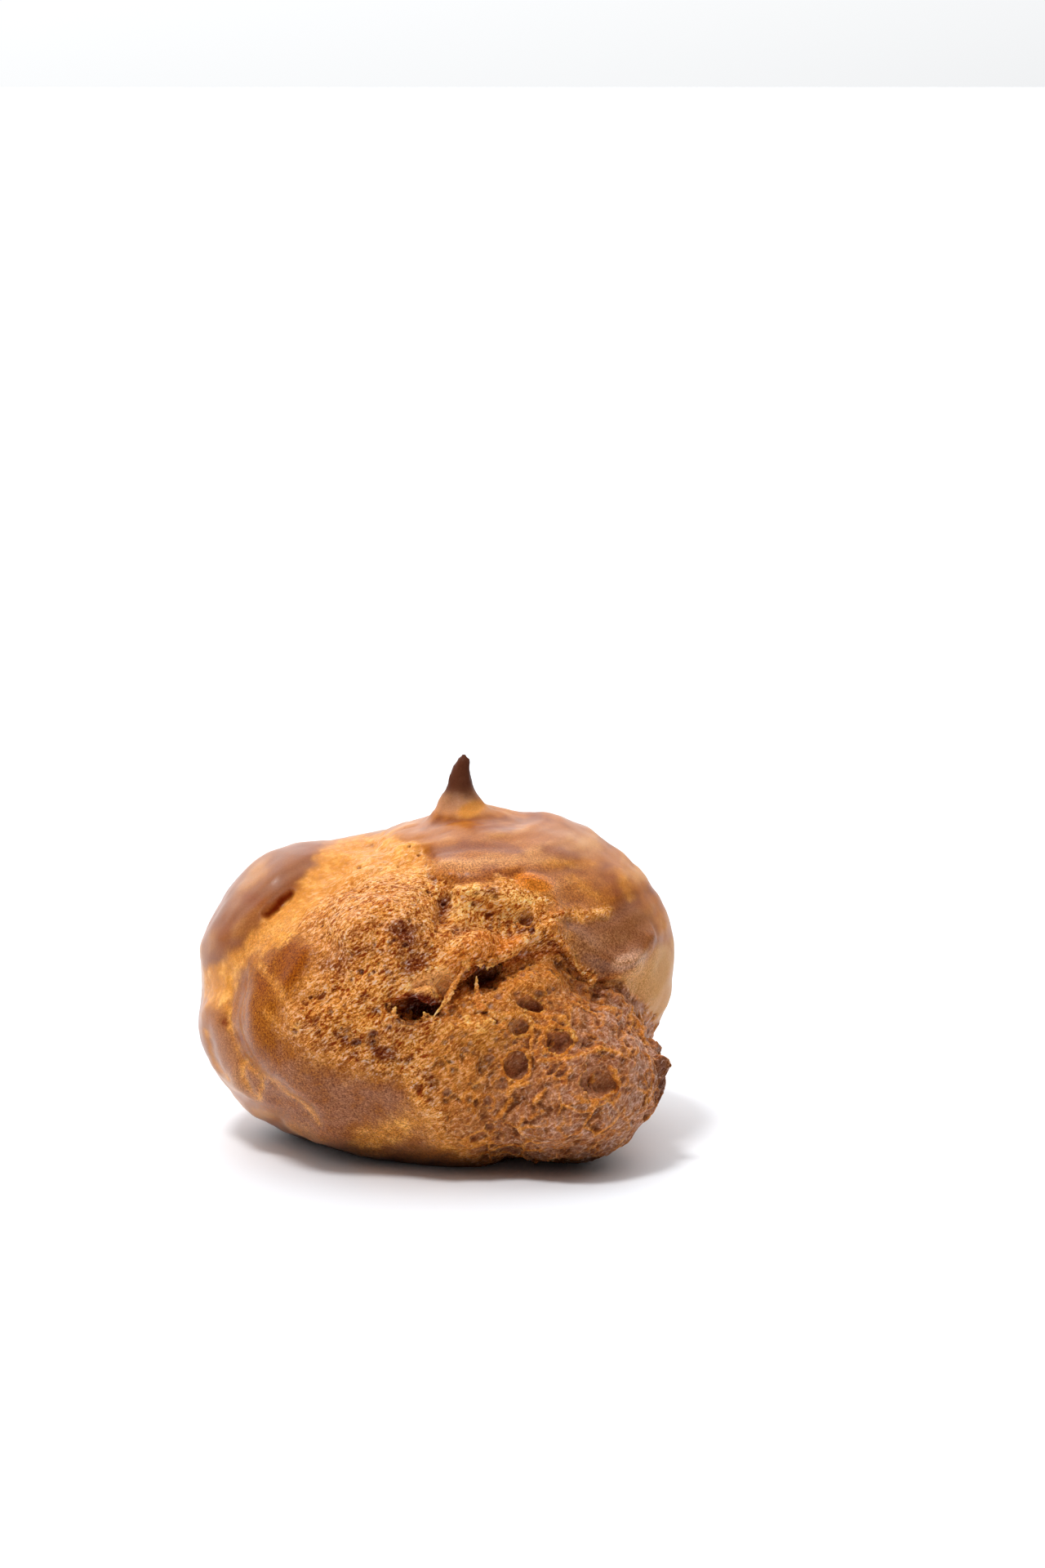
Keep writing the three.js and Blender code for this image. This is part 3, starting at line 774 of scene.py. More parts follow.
class Skin:
    """The crust's points with all that the features are placed by."""

    def __init__(self, mesh):
        self.mesh = mesh
        self.refresh()

    def refresh(self):
        self.points = read(self.mesh, "co")
        self.normals = read(self.mesh, "normal")
        self.spots = to_pixels(self.points)
        self.front = ramp(facing(self.points, self.normals), *FRONT_FACING)
        self.place = self.points / MM
        self.near = self.points[:, 1] < 0

    def move(self, shift):
        write(self.mesh, self.points + shift)
        self.refresh()

    def push(self, rise):
        self.move(self.normals * (rise * MM)[:, None])

    def zone(self, outline, edge, waver, seed):
        """1 inside an outline on the front, 0 outside, with a ragged border."""
        depth = depth_inside(self.spots, outline) + waver * layered(self.place, ZONE_WAVE, seed)
        return self.front * ramp(depth, -edge / 2, edge / 2)

    def band(self, path, width, waver, seed):
        """1 along a path on the front, less beside it."""
        distance = path_distance(self.spots, path) + waver * layered(self.place, BAND_WAVE, seed)
        return self.front * bell(np.maximum(distance, 0), width)

    def oval(self, oval, reach, soft, waver=0):
        return self.front * within(self.spots, oval, reach, soft, waver)


def burst_zones(skin):
    """The burst skin and its lobe, crisp under the crown and soft towards the crescent roll."""
    x, y = skin.spots.T
    softer = np.maximum(1 - ramp(x, *ROLL_SIDE), ramp(y, *FOOT_SIDE) * (1 - ramp(x, *LOBE_SIDE)))
    depth = depth_inside(skin.spots, BURST_SKIN) + BURST_WAVER * relief("ragged burst", skin.place)
    burst = skin.front * ramp(depth / (BURST_SOFT + BURST_SOFTER * softer), -0.5, 0.5)
    return burst, skin.zone(*LOBE_ZONE) * burst


def sculpt_folds(skin):
    burst, _ = burst_zones(skin)
    x, y = skin.spots.T
    height = skin.place[:, 2]
    rise = RISES["burst skin"] * burst * ramp(x, *BURST_STEP)
    lip = bell(depth_inside(skin.spots, BURST_SKIN) + CROWN_LIP_OUT, CROWN_LIP_WIDTH)
    rise += RISES["crown lip"] * skin.front * lip * ramp(x, *CROWN_LIP_SIDE) * (y < CROWN_LIP_END)
    for path, *band, step in FOLD_LINES:
        rise += step * skin.band(path, *band)
    eased = RISES["crevice's right end"] * ramp(x, *CREVICE_EASE)
    rise += (RISES["crevice"] + eased) * skin.band(*CREVICE_BAND)
    ragged = ramp(relief("ragged lip", skin.place), low=-0.2, high=0.4)
    rise += RISES["lip border"] * skin.band(*LIP_BAND) * ragged
    rise += RISES["shoulder lip"] * skin.band(SHOULDER_LIP, width=12, waver=2, seed=19) * (1 - burst)
    rise += RISES["membrane"] * skin.zone(MEMBRANE, edge=12, waver=1, seed=24)
    rise += RISES["blister"] * skin.oval(BLISTER, reach=1, soft=0.8)
    rise += (1 - burst) * (relief("billows", skin.place) + RISES["streaks"] * glaze_streaks(skin))
    rise += PEAK_REGAIN * ramp(height, *PEAK_HEIGHTS)
    for middle, width, heights, step in TOP_SWELLS.values():
        rise += step * bell(x - middle, width) * ramp(height, *heights)
    skin.push(rise)


def fill_hollows(skin, share, turns):
    """Brings up what lies behind its smoothed surroundings, seen from the front, by a share from 0 to 1."""
    ends = edge_ends(skin.mesh)
    for _ in range(turns):
        even = smoothed(skin.points, ends, FILL_ROUNDS, 0)
        nearer = np.sum((even - skin.points) * (eye - skin.points), axis=1) > 0
        skin.move((share * (nearer & skin.near))[:, None] * (even - skin.points))


def ease_base(skin):
    """Closes the lip's groove, the slit and two pits, brings up the bubbles' floors, and softens edges."""
    spots = skin.spots
    groove = ramp(depth_inside(spots, LIP_GROOVE), low=-6, high=6)
    for oval in (FOLD_SLIT, BROW_PIT, PATCH_PIT):
        groove = np.maximum(groove, within(spots, oval, reach=2.2, soft=0.4))
    fill_hollows(skin, groove, turns=12)
    bowls = np.zeros(len(spots))
    for x, y, across, up, _, _, tilt in BUBBLES.values():
        bowls = np.maximum(bowls, within(spots, (x, y, across, up, tilt), reach=1.5, soft=0.4))
    fill_hollows(skin, BUBBLE_FILL * bowls, turns=2)
    edge = skin.front * bell(path_distance(skin.spots, ROLL_EDGE), width=16)
    edge = np.maximum(edge, skin.near * within(skin.spots, FOLD_SLIT, reach=3.6, soft=1))
    edge = np.maximum(edge, skin.near * within(skin.spots, NOTCH_END, reach=1.6, soft=0.6))
    edge = np.maximum(edge, bell(skin.place[:, 2] - PEAK_FOOT, width=0.9))
    even = smoothed(skin.points, edge_ends(skin.mesh), FILL_ROUNDS, 0)
    skin.move(edge[:, None] * (even - skin.points))


def glaze_streaks(skin):
    """Long soft wrinkles in the glazed skin: round the peak on the crown, along the rolls at the left."""
    x, y, z = skin.place.T
    right, back = x - CROWN_MIDDLE[0], y - CROWN_MIDDLE[1]
    round_peak = np.stack((np.arctan2(back, right), np.hypot(right, back), z), axis=1) * CROWN_STRETCH
    along_rolls = np.stack((x - z, x + z, y), axis=1) * ROLL_STRETCH
    crown = ramp(z, *CROWN_HEIGHTS) * ramp(x, *CROWN_SIDE)
    return crown * relief("crown streaks", round_peak) + (1 - crown) * relief("roll streaks", along_rolls)


def slanted(place):
    """Stretches places so that noise made there runs from lower left to upper right across the front."""
    x, y, z = place.T
    along, across = SLANT_STRETCH
    return np.stack((
        along * (SLANT_RUN * x + SLANT_RISE * z), y, across * (SLANT_RUN * z - SLANT_RISE * x),
    ), axis=1)


def pale_crumbs(skin):
    """Small crumbs heaped under the torn holes, from 0 to 1."""
    heaps = relief("crumbs", skin.place) + relief("fine crumbs", skin.place)
    return skin.oval(PALE_CRUMBS, reach=1.2, soft=0.5) * ramp(heaps, low=0.0, high=0.4)


def sculpt_lumps(skin):
    burst, lobe = burst_zones(skin)
    torn = burst * (1 - lobe)
    rise = torn * (relief("torn lumps", skin.place) + relief("torn ridges", slanted(skin.place), ridged))
    rise += lobe * (relief("lobe lumps", skin.place) + relief("lobe ridges", skin.place, ridged))
    for *oval, height in MOUNDS.values():
        rise += height * skin.oval(oval, reach=1, soft=1)
    rise += RISES["notch"] * skin.band(NOTCH, width=4, waver=1.5, seed=23)
    rise += RISES["crumbs"] * pale_crumbs(skin)
    for strand in STRANDS:
        rise += RISES["strands"] * skin.band(strand, *STRAND_BAND)
    skin.push(rise)


def strew(skin, share, count, radii, seed):
    """Seeded spots on part of the skin, small ones more often, none over another."""
    draw = np.random.default_rng(seed)
    tries = draw.choice(len(share), DIMPLE_TRIES * count, p=share / share.sum())
    sizes = radii[0] * (radii[1] / radii[0]) ** (draw.random(len(tries)) ** 2)
    kept = []
    for index, size in zip(tries, sizes):
        middle = skin.place[index]
        if all(np.linalg.norm(middle - other) > DIMPLE_GAP * (size + wide) for other, wide in kept):
            kept.append((middle, size))
        if len(kept) == count:
            break
    return kept


def sculpt_bubbles(skin):
    """Bowls with raised rims, deeper at the lower right.

    Returns how far each point is in a bowl, on a rim, and in the shade.
    """
    burst, lobe = burst_zones(skin)
    torn = burst * (1 - lobe)
    rise, pit, rims, shade = (np.zeros(len(skin.points)) for _ in range(4))
    warp = 1 + relief("uneven bubbles", skin.place) + relief("finer unevenness", skin.place)
    broken = between((BROKEN_LEAST, 1), ramp(relief("broken rims", skin.place), low=-0.5, high=0.2))

    def sink(some, radius, deep, rim, share, side):
        lean = between((UPPER_LEFT, 1), side)
        bowl = share[some] * np.sqrt(np.clip(1 - radius**2, 0, 1)) * lean
        edge = share[some] * bell(radius - RIM_PLACE, width=0.12) * broken[some] * lean
        rise[some] += rim * edge - deep * bowl
        pit[some] = np.maximum(pit[some], bowl)
        rims[some] = np.maximum(rims[some], edge * min(1, rim / FULL_RIM))
        shade[some] = np.maximum(shade[some], bowl * side * min(deep, 1))

    everywhere = np.arange(len(skin.points))
    for x, y, across, up, deep, rim, tilt in BUBBLES.values():
        side = ramp((skin.spots - (x, y)) / (across, up) @ SIDE_LEAN, *SIDE_ENDS)
        sink(everywhere, oval_radius(skin.spots, x, y, across, up, tilt) * warp, deep, rim, skin.front, side)
    finder = KDTree(len(skin.place))
    for index, spot in enumerate(skin.place):
        finder.insert(spot, index)
    finder.balance()
    strewn = [(spot, LOBE_DIMPLE_BOWL, lobe) for spot in strew(skin, lobe, *LOBE_DIMPLES)]
    strewn += [(spot, FACE_PORE_BOWL, torn) for spot in strew(skin, torn, *FACE_PORES)]
    for (middle, size), (deep, rim), share in strewn:
        some = np.array([index for _, index, _ in finder.find_range(middle, 2 * size)])
        radius = np.linalg.norm(skin.place[some] - middle, axis=1) / size * warp[some]
        sink(some, radius, deep * size, rim, share, 1)
    skin.push(rise)
    return pit, rims, shade


def sculpt_holes(skin):
    """Tears the rims of the open holes into teeth, and raises a shelf in the left end of the first."""
    right, up, _ = eye_axes.T
    shift = np.zeros_like(skin.points)
    ragged = (relief("teeth", skin.place) + relief("fine teeth", skin.place)) * MM
    for x, y, *sizes in TORN_HOLES.values():
        pull = bell(oval_radius(skin.spots, x, y, *sizes) - 1, width=0.3) * ragged
        toward = np.stack((x - skin.spots[:, 0], skin.spots[:, 1] - y), axis=1)
        toward /= np.linalg.norm(toward, axis=1, keepdims=True) + 1
        shift += pull[:, None] * (toward[:, :1] * right + toward[:, 1:] * up)
    skin.move(shift)
    raise_floor(skin, TORN_HOLES["open"], SHELF_DEPTH + SHELF_DROP * ramp(skin.spots[:, 0], *HOLE_SHELF))
    raise_floor(skin, TORN_HOLES["under the lip"], LIP_HOLE_DEPTH)


def raise_floor(skin, oval, depth):
    """Brings what lies deeper in an oval hole than a depth under its rim up to that depth."""
    back = eye_axes[:, 2]
    radius = oval_radius(skin.spots, *oval)
    near = skin.points @ back
    ring = (radius > HOLE_RIM[0]) & (radius < HOLE_RIM[1]) & (skin.front > 0.5)
    rim = np.median(near[ring])
    inside = (radius < HOLE_EDGE) & (near > rim - HOLE_REACH * MM)
    skin.move((np.clip(rim - depth * MM - near, 0, None) * inside)[:, None] * back)


def webs(skin):
    """Thin ragged walls between the cells of the burst lobe, and finer veins, each from 0 to 1."""
    wavy = bent(skin.place, *WEB_BEND)
    border, _ = cells(wavy, *WEB_CELLS)
    walls = bell(border, width=0.09) * ramp(relief("patches of web", skin.place), low=-0.3, high=0.3)
    for line in WEB_LINES:
        walls = np.maximum(walls, skin.band(line, *WEB_BAND))
    veins = ramp(1 - np.abs(relief("veins", wavy)), low=0.93, high=0.99)
    return walls, veins * ramp(relief("patches of veins", skin.place), low=0, high=0.4)


def smooth_skins(skin, pit):
    """Where the burst skin is stretched smooth: the flap, the membrane, the blister and the bubbles."""
    return np.maximum.reduce((
        SMOOTH_FLAP * skin.zone(FLAP_SKIN, edge=8, waver=2, seed=73),
        SMOOTH_MEMBRANE * skin.zone(MEMBRANE, edge=8, waver=1, seed=24),
        skin.oval(BLISTER, reach=1.1, soft=0.2),
        SMOOTH_BOWL * ramp(pit, low=0.2, high=0.6),
    ))


def sculpt_grain(skin, pit):
    burst, lobe = (zone * (1 - smooth_skins(skin, pit)) for zone in burst_zones(skin))
    torn = burst * (1 - lobe)
    slant = slanted(skin.place)
    border, tilted = cells(bent(slant, *FLAKE_BENDS), *FLAKE_CELLS)
    flakes = RISES["flakes"] * tilted + RISES["flake borders"] * ramp(border, low=0, high=0.3)
    flakes *= ramp(relief("patches of flakes", skin.place), low=-0.6, high=0.5)
    walls, veins = webs(skin)
    rise = torn * (flakes + relief("torn grain", slant, ridged) + relief("torn specks", skin.place))
    rise += lobe * (LOBE_FLAKES * flakes + relief("lobe grain", skin.place, ridged))
    rise += lobe * (RISES["walls"] * walls + RISES["veins"] * veins)
    skin.push(rise)


def flatten_foot(skin):
    """Keeps the foot on the table."""
    shift = np.zeros_like(skin.points)
    shift[:, 2] = np.maximum(-skin.points[:, 2], 0)
    skin.move(shift)


# Colouring

class Paint:
    """Linear colours at the skin's points, laid one over another."""

    def __init__(self, count, colour):
        self.tone = np.tile(linear(colour), (count, 1))

    def lay(self, colour, where, share=1):
        share = np.clip(share * where, 0, 1)[:, None]
        self.tone += share * (linear(colour) - self.tone)


def hollows(skin, rounds):
    """How far each point lies under its smoothed surroundings, in millimetres."""
    even = smoothed(skin.points, edge_ends(skin.mesh), rounds, 0)
    return np.sum((even - skin.points) * skin.normals, axis=1) / MM


def paint_fields(skin, pit, rims, shade):
    """Values at each point that the colours depend on, and the patterns made of them."""
    burst, lobe = burst_zones(skin)
    walls, veins = webs(skin)
    x, y = skin.spots.T
    brow = within(skin.spots, GOLDEN_BROW, reach=1.3, soft=0.7)
    fields = {
        **{name: relief(name, skin.place) for name in ("broad", "mottle", "fine")},
        "slant": relief("slant", slanted(skin.place)), "streak": glaze_streaks(skin),
        "hollow": hollows(skin, HOLLOW_ROUNDS), "valley": hollows(skin, VALLEY_ROUNDS),
        "burst": burst, "lobe": lobe, "torn": burst * (1 - lobe), "walls": walls, "veins": veins,
        "pit": pit, "rims": rims, "shade": shade, "smooth": smooth_skins(skin, pit),
        "x": x, "y": y, "depth": skin.place[:, 1], "height": skin.place[:, 2],
        "low": ramp(y, *LOW_ENDS), "golden brow": brow, "brow": brow + 1 - ramp(y, *BROW_ENDS),
        "upper": 1 - ramp(x + UPPER_SLOPE * y, *UPPER_ENDS), "greyer": ramp(x + GREY_SLOPE * y, *GREY_ENDS),
    }
    for name, (weights, ends, strength) in PATTERNS.items():
        fields[name] = strength * ramp(sum(weight * fields[key] for key, weight in weights.items()), *ends)
    return fields


def paint_glaze(paint, skin, fields):
    """The glazed skin. Returns the zones that its shine depends on."""
    mottle = fields["mottle"]
    # Pale on the raised glaze wrinkles and darker between them: partly the glaze's own streaks, partly
    # painted sheen and painted shade.
    paint.lay(GLAZE_PALE, fields["pale streaks"])
    paint.lay(GLAZE_DARK, fields["dark streaks"])
    crescent = skin.zone(*CRESCENT_ZONE)
    paint.lay(ROLL, crescent, share=0.85)
    # The crescent's lower part laid greyer: partly its own purple-brown, partly painted reflection of the
    # floor.
    paint.lay(ROLL_DARK, crescent * fields["dark roll"])
    for patch in DEEP_ROLL:
        paint.lay(ROLL_DEEP, skin.oval(patch, reach=1.2, soft=0.6, waver=DEEP_MOTTLE * mottle), share=0.8)
    upper_roll = skin.zone(UPPER_LEFT_ROLL, edge=16, waver=7, seed=68)
    paint.lay(UPPER_ROLL, upper_roll * fields["upper roll"])
    for path, width in BROWN_STROKES:
        paint.lay(STROKE, skin.band(path, width, waver=4, seed=74), share=0.8)
    paint.lay(SHOULDER, skin.zone(SHOULDER_LOBE, edge=26, waver=8, seed=69), share=0.75)
    paint.lay(LEFT_LOBE, skin.zone(LOWER_LEFT_LOBE, edge=14, waver=6, seed=65), share=0.7)
    lip = skin.band(*LIP_BAND)
    golden = np.maximum(skin.zone(GOLDEN_FOLD, edge=18, waver=9, seed=55), lip)
    for path, *band, strength in GOLDEN_LINES:
        golden = np.maximum(golden, strength * skin.band(path, *band))
    golden = np.maximum(golden, (1 - skin.front) * fields["valleys"])
    golden = np.clip(golden * (GOLD_EVEN + GOLD_FINE * fields["fine"] + GOLD_MOTTLE * mottle), 0, 1)
    paint.lay(GOLD, golden)
    paint.lay(GOLD_PALE, golden * fields["pale gold"])
    wall = ramp(depth_inside(skin.spots, RIGHT_WALL) + WALL_WAVER * mottle, low=-8, high=8) * skin.near
    wall *= ramp(facing(skin.points, skin.normals) + WALL_TURN_WAVER * mottle, low=-0.5, high=0.35)
    paint.lay(WALL, wall, share=0.9)
    # A painted sheen on the shoulder lobe's lower edge, where the coat also shines more.
    rim = skin.oval(SHOULDER_SHEEN, reach=1.2, soft=0.7, waver=SPOT_MOTTLE * mottle)
    paint.lay(RIM_SHEEN, rim, share=0.7)
    return {"lip": lip, "crescent": crescent, "golden": golden, "wall": wall, "rim": rim}


def paint_burst(paint, skin, fields):
    """The torn face and the burst lobe, with their patches, strands, webs and bubbles."""
    mottle, upper = fields["mottle"], fields["upper"]
    burst, lobe, torn = fields["burst"], fields["lobe"], fields["torn"]
    paint.lay(CRUMB, torn)
    # Painted light on raised crumbs, painted shade in hollow ones, and purple patches of the crumb's own
    # colour.
    for colour, name in TORN_COATS:
        paint.lay(colour, torn * fields[name])
    paint.lay(GOLD_PALE, torn * fields["golden brow"] * fields["pale brow"])
    # The lobe: orange and gold towards its upper left and on raised parts are partly painted light, grey
    # towards its lower right partly painted reflection, dark in hollows partly painted shade.
    paint.lay(LOBE, lobe)
    paint.lay(ORANGE_CRUMB, lobe * upper, share=0.8)
    paint.lay(LOBE_GREY, lobe * between(GREY_SHARE, fields["greyer"]) * fields["grey lobe"])
    paint.lay(LOBE_DARK, lobe * fields["dark lobe"])
    paint.lay(RUST, lobe * fields["rusty lobe"])
    paint.lay(GOLD, lobe * between(GOLDEN_SHARE, upper) * fields["golden lobe"])
    # Paler patches: partly the crust's own tone, partly painted light on lumps.
    for patch in PALE_PATCHES:
        pale = within(skin.spots, patch, reach=1, soft=0.8, waver=PATCH_MOTTLE[0] * mottle)
        paint.lay(GOLD, burst * pale, share=0.8)
    # Darker patches: partly browning, partly painted shade in hollows and pits.
    uneven = PATCH_MOTTLE[1] * mottle + PATCH_FINE * fields["fine"]
    for patch in DARK_PATCHES:
        dark = within(skin.spots, patch, reach=1.15, soft=0.9, waver=uneven)
        paint.lay(CRUMB_DARK, burst * dark, share=0.9)
    paint.lay(GOLD_PALE, pale_crumbs(skin), share=0.9)
    for strand in STRANDS:
        paint.lay(GOLD_PALE, skin.band(strand, *STRAND_BAND), share=0.35)
    paint.lay(RUST, lobe * between(WEB_SHARE, upper) * np.maximum(fields["walls"], fields["veins"]))
    # Painted shade in pits and under the bubbles' rims, with the webs', bowls' and rims' own colours.
    for zone, colour, name in BUBBLE_COATS:
        paint.lay(colour, fields[zone] * fields[name])
    paint.lay(GOLD_PALE, burst * fields["pale rims"] * fields["parts of rims"])


def paint_marks(paint, skin, fields):
    """Single skins; holes and lines with painted shade in them; the peak and its burnt tip; the burst skin
    darker at its right edge; the foot, partly browned and partly painted shade.
    """
    paint.lay(FLAP_SKIN_TONE, skin.zone(FLAP_SKIN, edge=12, waver=4, seed=73), share=0.8)
    paint.lay(MEMBRANE_TONE, skin.zone(MEMBRANE, edge=10, waver=2, seed=24), share=0.9)
    paint.lay(BLISTER_TONE, skin.oval(BLISTER, reach=1.05, soft=0.25), share=0.85)
    # Painted shade inside the torn holes, with a painted lit floor left at the left end of each.
    for oval in TORN_HOLES.values():
        x, _, across, _, _ = oval
        inside = skin.near * within(skin.spots, oval, reach=0.96, soft=0.25)
        paint.lay(HOLE_LIT, inside)
        paint.lay(HOLE, inside * ramp((skin.spots[:, 0] - x) / across, *HOLE_SHADE))
    # The crevice in the inner crust's orange, which its hollow shades, and painted shade along the line under
    # the lip.
    paint.lay(HOLE_LIT, skin.band(*CREVICE_BAND), share=0.8)
    paint.lay(HOLE, skin.band(LIP_LINE, width=2.5, waver=2.5, seed=20), share=0.6)
    # Painted shade in the slit, and two small dots in the same dark.
    paint.lay(SLIT, skin.band(SLIT_LINE, width=4.5, waver=2, seed=75))
    for dot in DARK_DOTS:
        paint.lay(SLIT, skin.oval(dot, reach=1.6, soft=0.8), share=0.8)
    paint.lay(PEAK_ROOT, fields["peak root"])
    gold = skin.oval(PEAK_GOLD, reach=1.3, soft=0.6, waver=SPOT_MOTTLE * fields["mottle"])
    paint.lay(GOLD, gold, share=0.8)
    paint.lay(BURNT, fields["burnt peak"])
    # The burst skin laid darker towards its right edge.
    paint.lay(BURNT, fields["burst"] * fields["burnt edge"])
    # The lowest few millimetres laid darker: partly browning from the tray, partly painted shade where the
    # crust meets the floor.
    paint.lay(FOOT_BROWN_AND_SHADE, fields["dark base"])


def crust_shine(skin, fields, zones):
    """How strong the clear coat is on glazed skin, from 0 to 1."""
    shine = SHINE["all"] + SHINE["rim"] * zones["rim"] + SHINE["wall"] * zones["wall"]
    shine += SHINE["golden"] * zones["golden"] - fields["dull root"]
    shine -= fields["dull right"] * fields["front"] * (1 - zones["rim"])
    shine -= fields["dull spots"] * fields["back"]
    streaks = fields["shine below"] + fields["shine at the left"]
    shine += zones["crescent"] * (SHINE["crescent"] + streaks)
    shine *= 1 - skin.near * bell(depth_inside(skin.spots, BURST_SKIN), width=14)
    shine *= 1 - skin.near * within(skin.spots, FOLD_SLIT, reach=2.5, soft=1)
    return np.clip(shine, 0, 1)


def paint_crust(skin, pit, rims, shade):
    """All values that the material reads, by name."""
    fields = paint_fields(skin, pit, rims, shade)
    paint = Paint(len(skin.points), GLAZE)
    zones = paint_glaze(paint, skin, fields)
    paint_burst(paint, skin, fields)
    paint_marks(paint, skin, fields)
    lobe, smooth = fields["lobe"], fields["smooth"]
    glazed = (1 - fields["burst"]) * (1 - GOLD_DULLS * zones["golden"]) * (1 - zones["lip"])
    sharp = np.maximum(SHARP_LEAST + fields["sharp front"], fields["sharp back"])
    return {
        "tone": paint.tone,
        "gloss": np.maximum(glazed, SMOOTH_GLOSS * smooth),
        "sharp": sharp * (1 - LOBE_BLUR * lobe),
        "glaze": crust_shine(skin, fields, zones),
        "foam": lobe * (1 - UPPER_FOAM * fields["upper"]) * (1 - smooth),
    }


def store(mesh, name, values):
    """Keeps a value or a linear colour at each point, under a name that the material reads."""
    if values.ndim == 1:
        mesh.attributes.new(name, "FLOAT", "POINT").data.foreach_set("value", values.astype(np.float32))
        return
    rgba = np.concatenate((np.clip(values, 0, 1), np.ones((len(values), 1))), axis=1)
    colours = mesh.attributes.new(name, "FLOAT_COLOR", "POINT").data
    colours.foreach_set("color", rgba.astype(np.float32).ravel())


def dress(mesh, material, values):
    """Gives a mesh smooth faces, a material and the values that the material reads."""
    for name, value in values.items():
        store(mesh, name, value)
    mesh.materials.append(material)
    mesh.polygons.foreach_set("use_smooth", np.ones(len(mesh.polygons), bool))


# Material

class Nodes:
    """Short ways to make and link the nodes of a material or world."""

    def __init__(self, owner):
        owner.use_nodes = True
        self.nodes, self.links = owner.node_tree.nodes, owner.node_tree.links

    def node(self, kind, inputs=None, **settings):
        made = self.nodes.new(kind)
        for key, value in settings.items():
            setattr(made, key, value)
        for key, value in (inputs or {}).items():
            if isinstance(value, bpy.types.NodeSocket):
                self.links.new(value, made.inputs[key])
            else:
                made.inputs[key].default_value = value
        return made

    def attribute(self, name, output="Fac"):
        return self.node("ShaderNodeAttribute", attribute_name=name).outputs[output]

    def grain(self, place, name, output="Fac"):
        size, roughness = GRAINS[name]
        inputs = {
            "Vector": place, "Scale": 1 / (size * MM), "Detail": GRAIN_DETAIL, "Roughness": roughness,
            "Distortion": GRAIN_SWIRL,
        }
        return self.node("ShaderNodeTexNoise", inputs).outputs[output]

    def cell_edge(self, inputs):
        return self.node("ShaderNodeTexVoronoi", inputs, feature="DISTANCE_TO_EDGE").outputs["Distance"]

    def spread(self, source, low, high, out_low, out_high):
        inputs = {"Value": source, "From Min": low, "From Max": high, "To Min": out_low, "To Max": out_high}
        return self.node("ShaderNodeMapRange", inputs).outputs["Result"]

    def math(self, operation, *values):
        return self.node("ShaderNodeMath", dict(enumerate(values)), operation=operation).outputs["Value"]

    def vector(self, operation, *values):
        made = self.node("ShaderNodeVectorMath", dict(enumerate(values)), operation=operation)
        return made.outputs["Vector"]

    def scaled(self, vector, factor):
        inputs = {0: vector, "Scale": factor}
        return self.node("ShaderNodeVectorMath", inputs, operation="SCALE").outputs["Vector"]

    def mix(self, kind, share, low, high, blend="MIX"):
        inputs = {"Factor": share, "A": low, "B": high}
        return self.node("ShaderNodeMix", inputs, data_type=kind, blend_type=blend).outputs["Result"]

    def tints(self, source, stops):
        made = self.node("ShaderNodeValToRGB", {"Fac": source})
        steps = made.color_ramp.elements
        steps.new(0.5)
        for step, colour in zip(steps, stops):
            step.color = colour + (1,)
        return made.outputs["Color"]


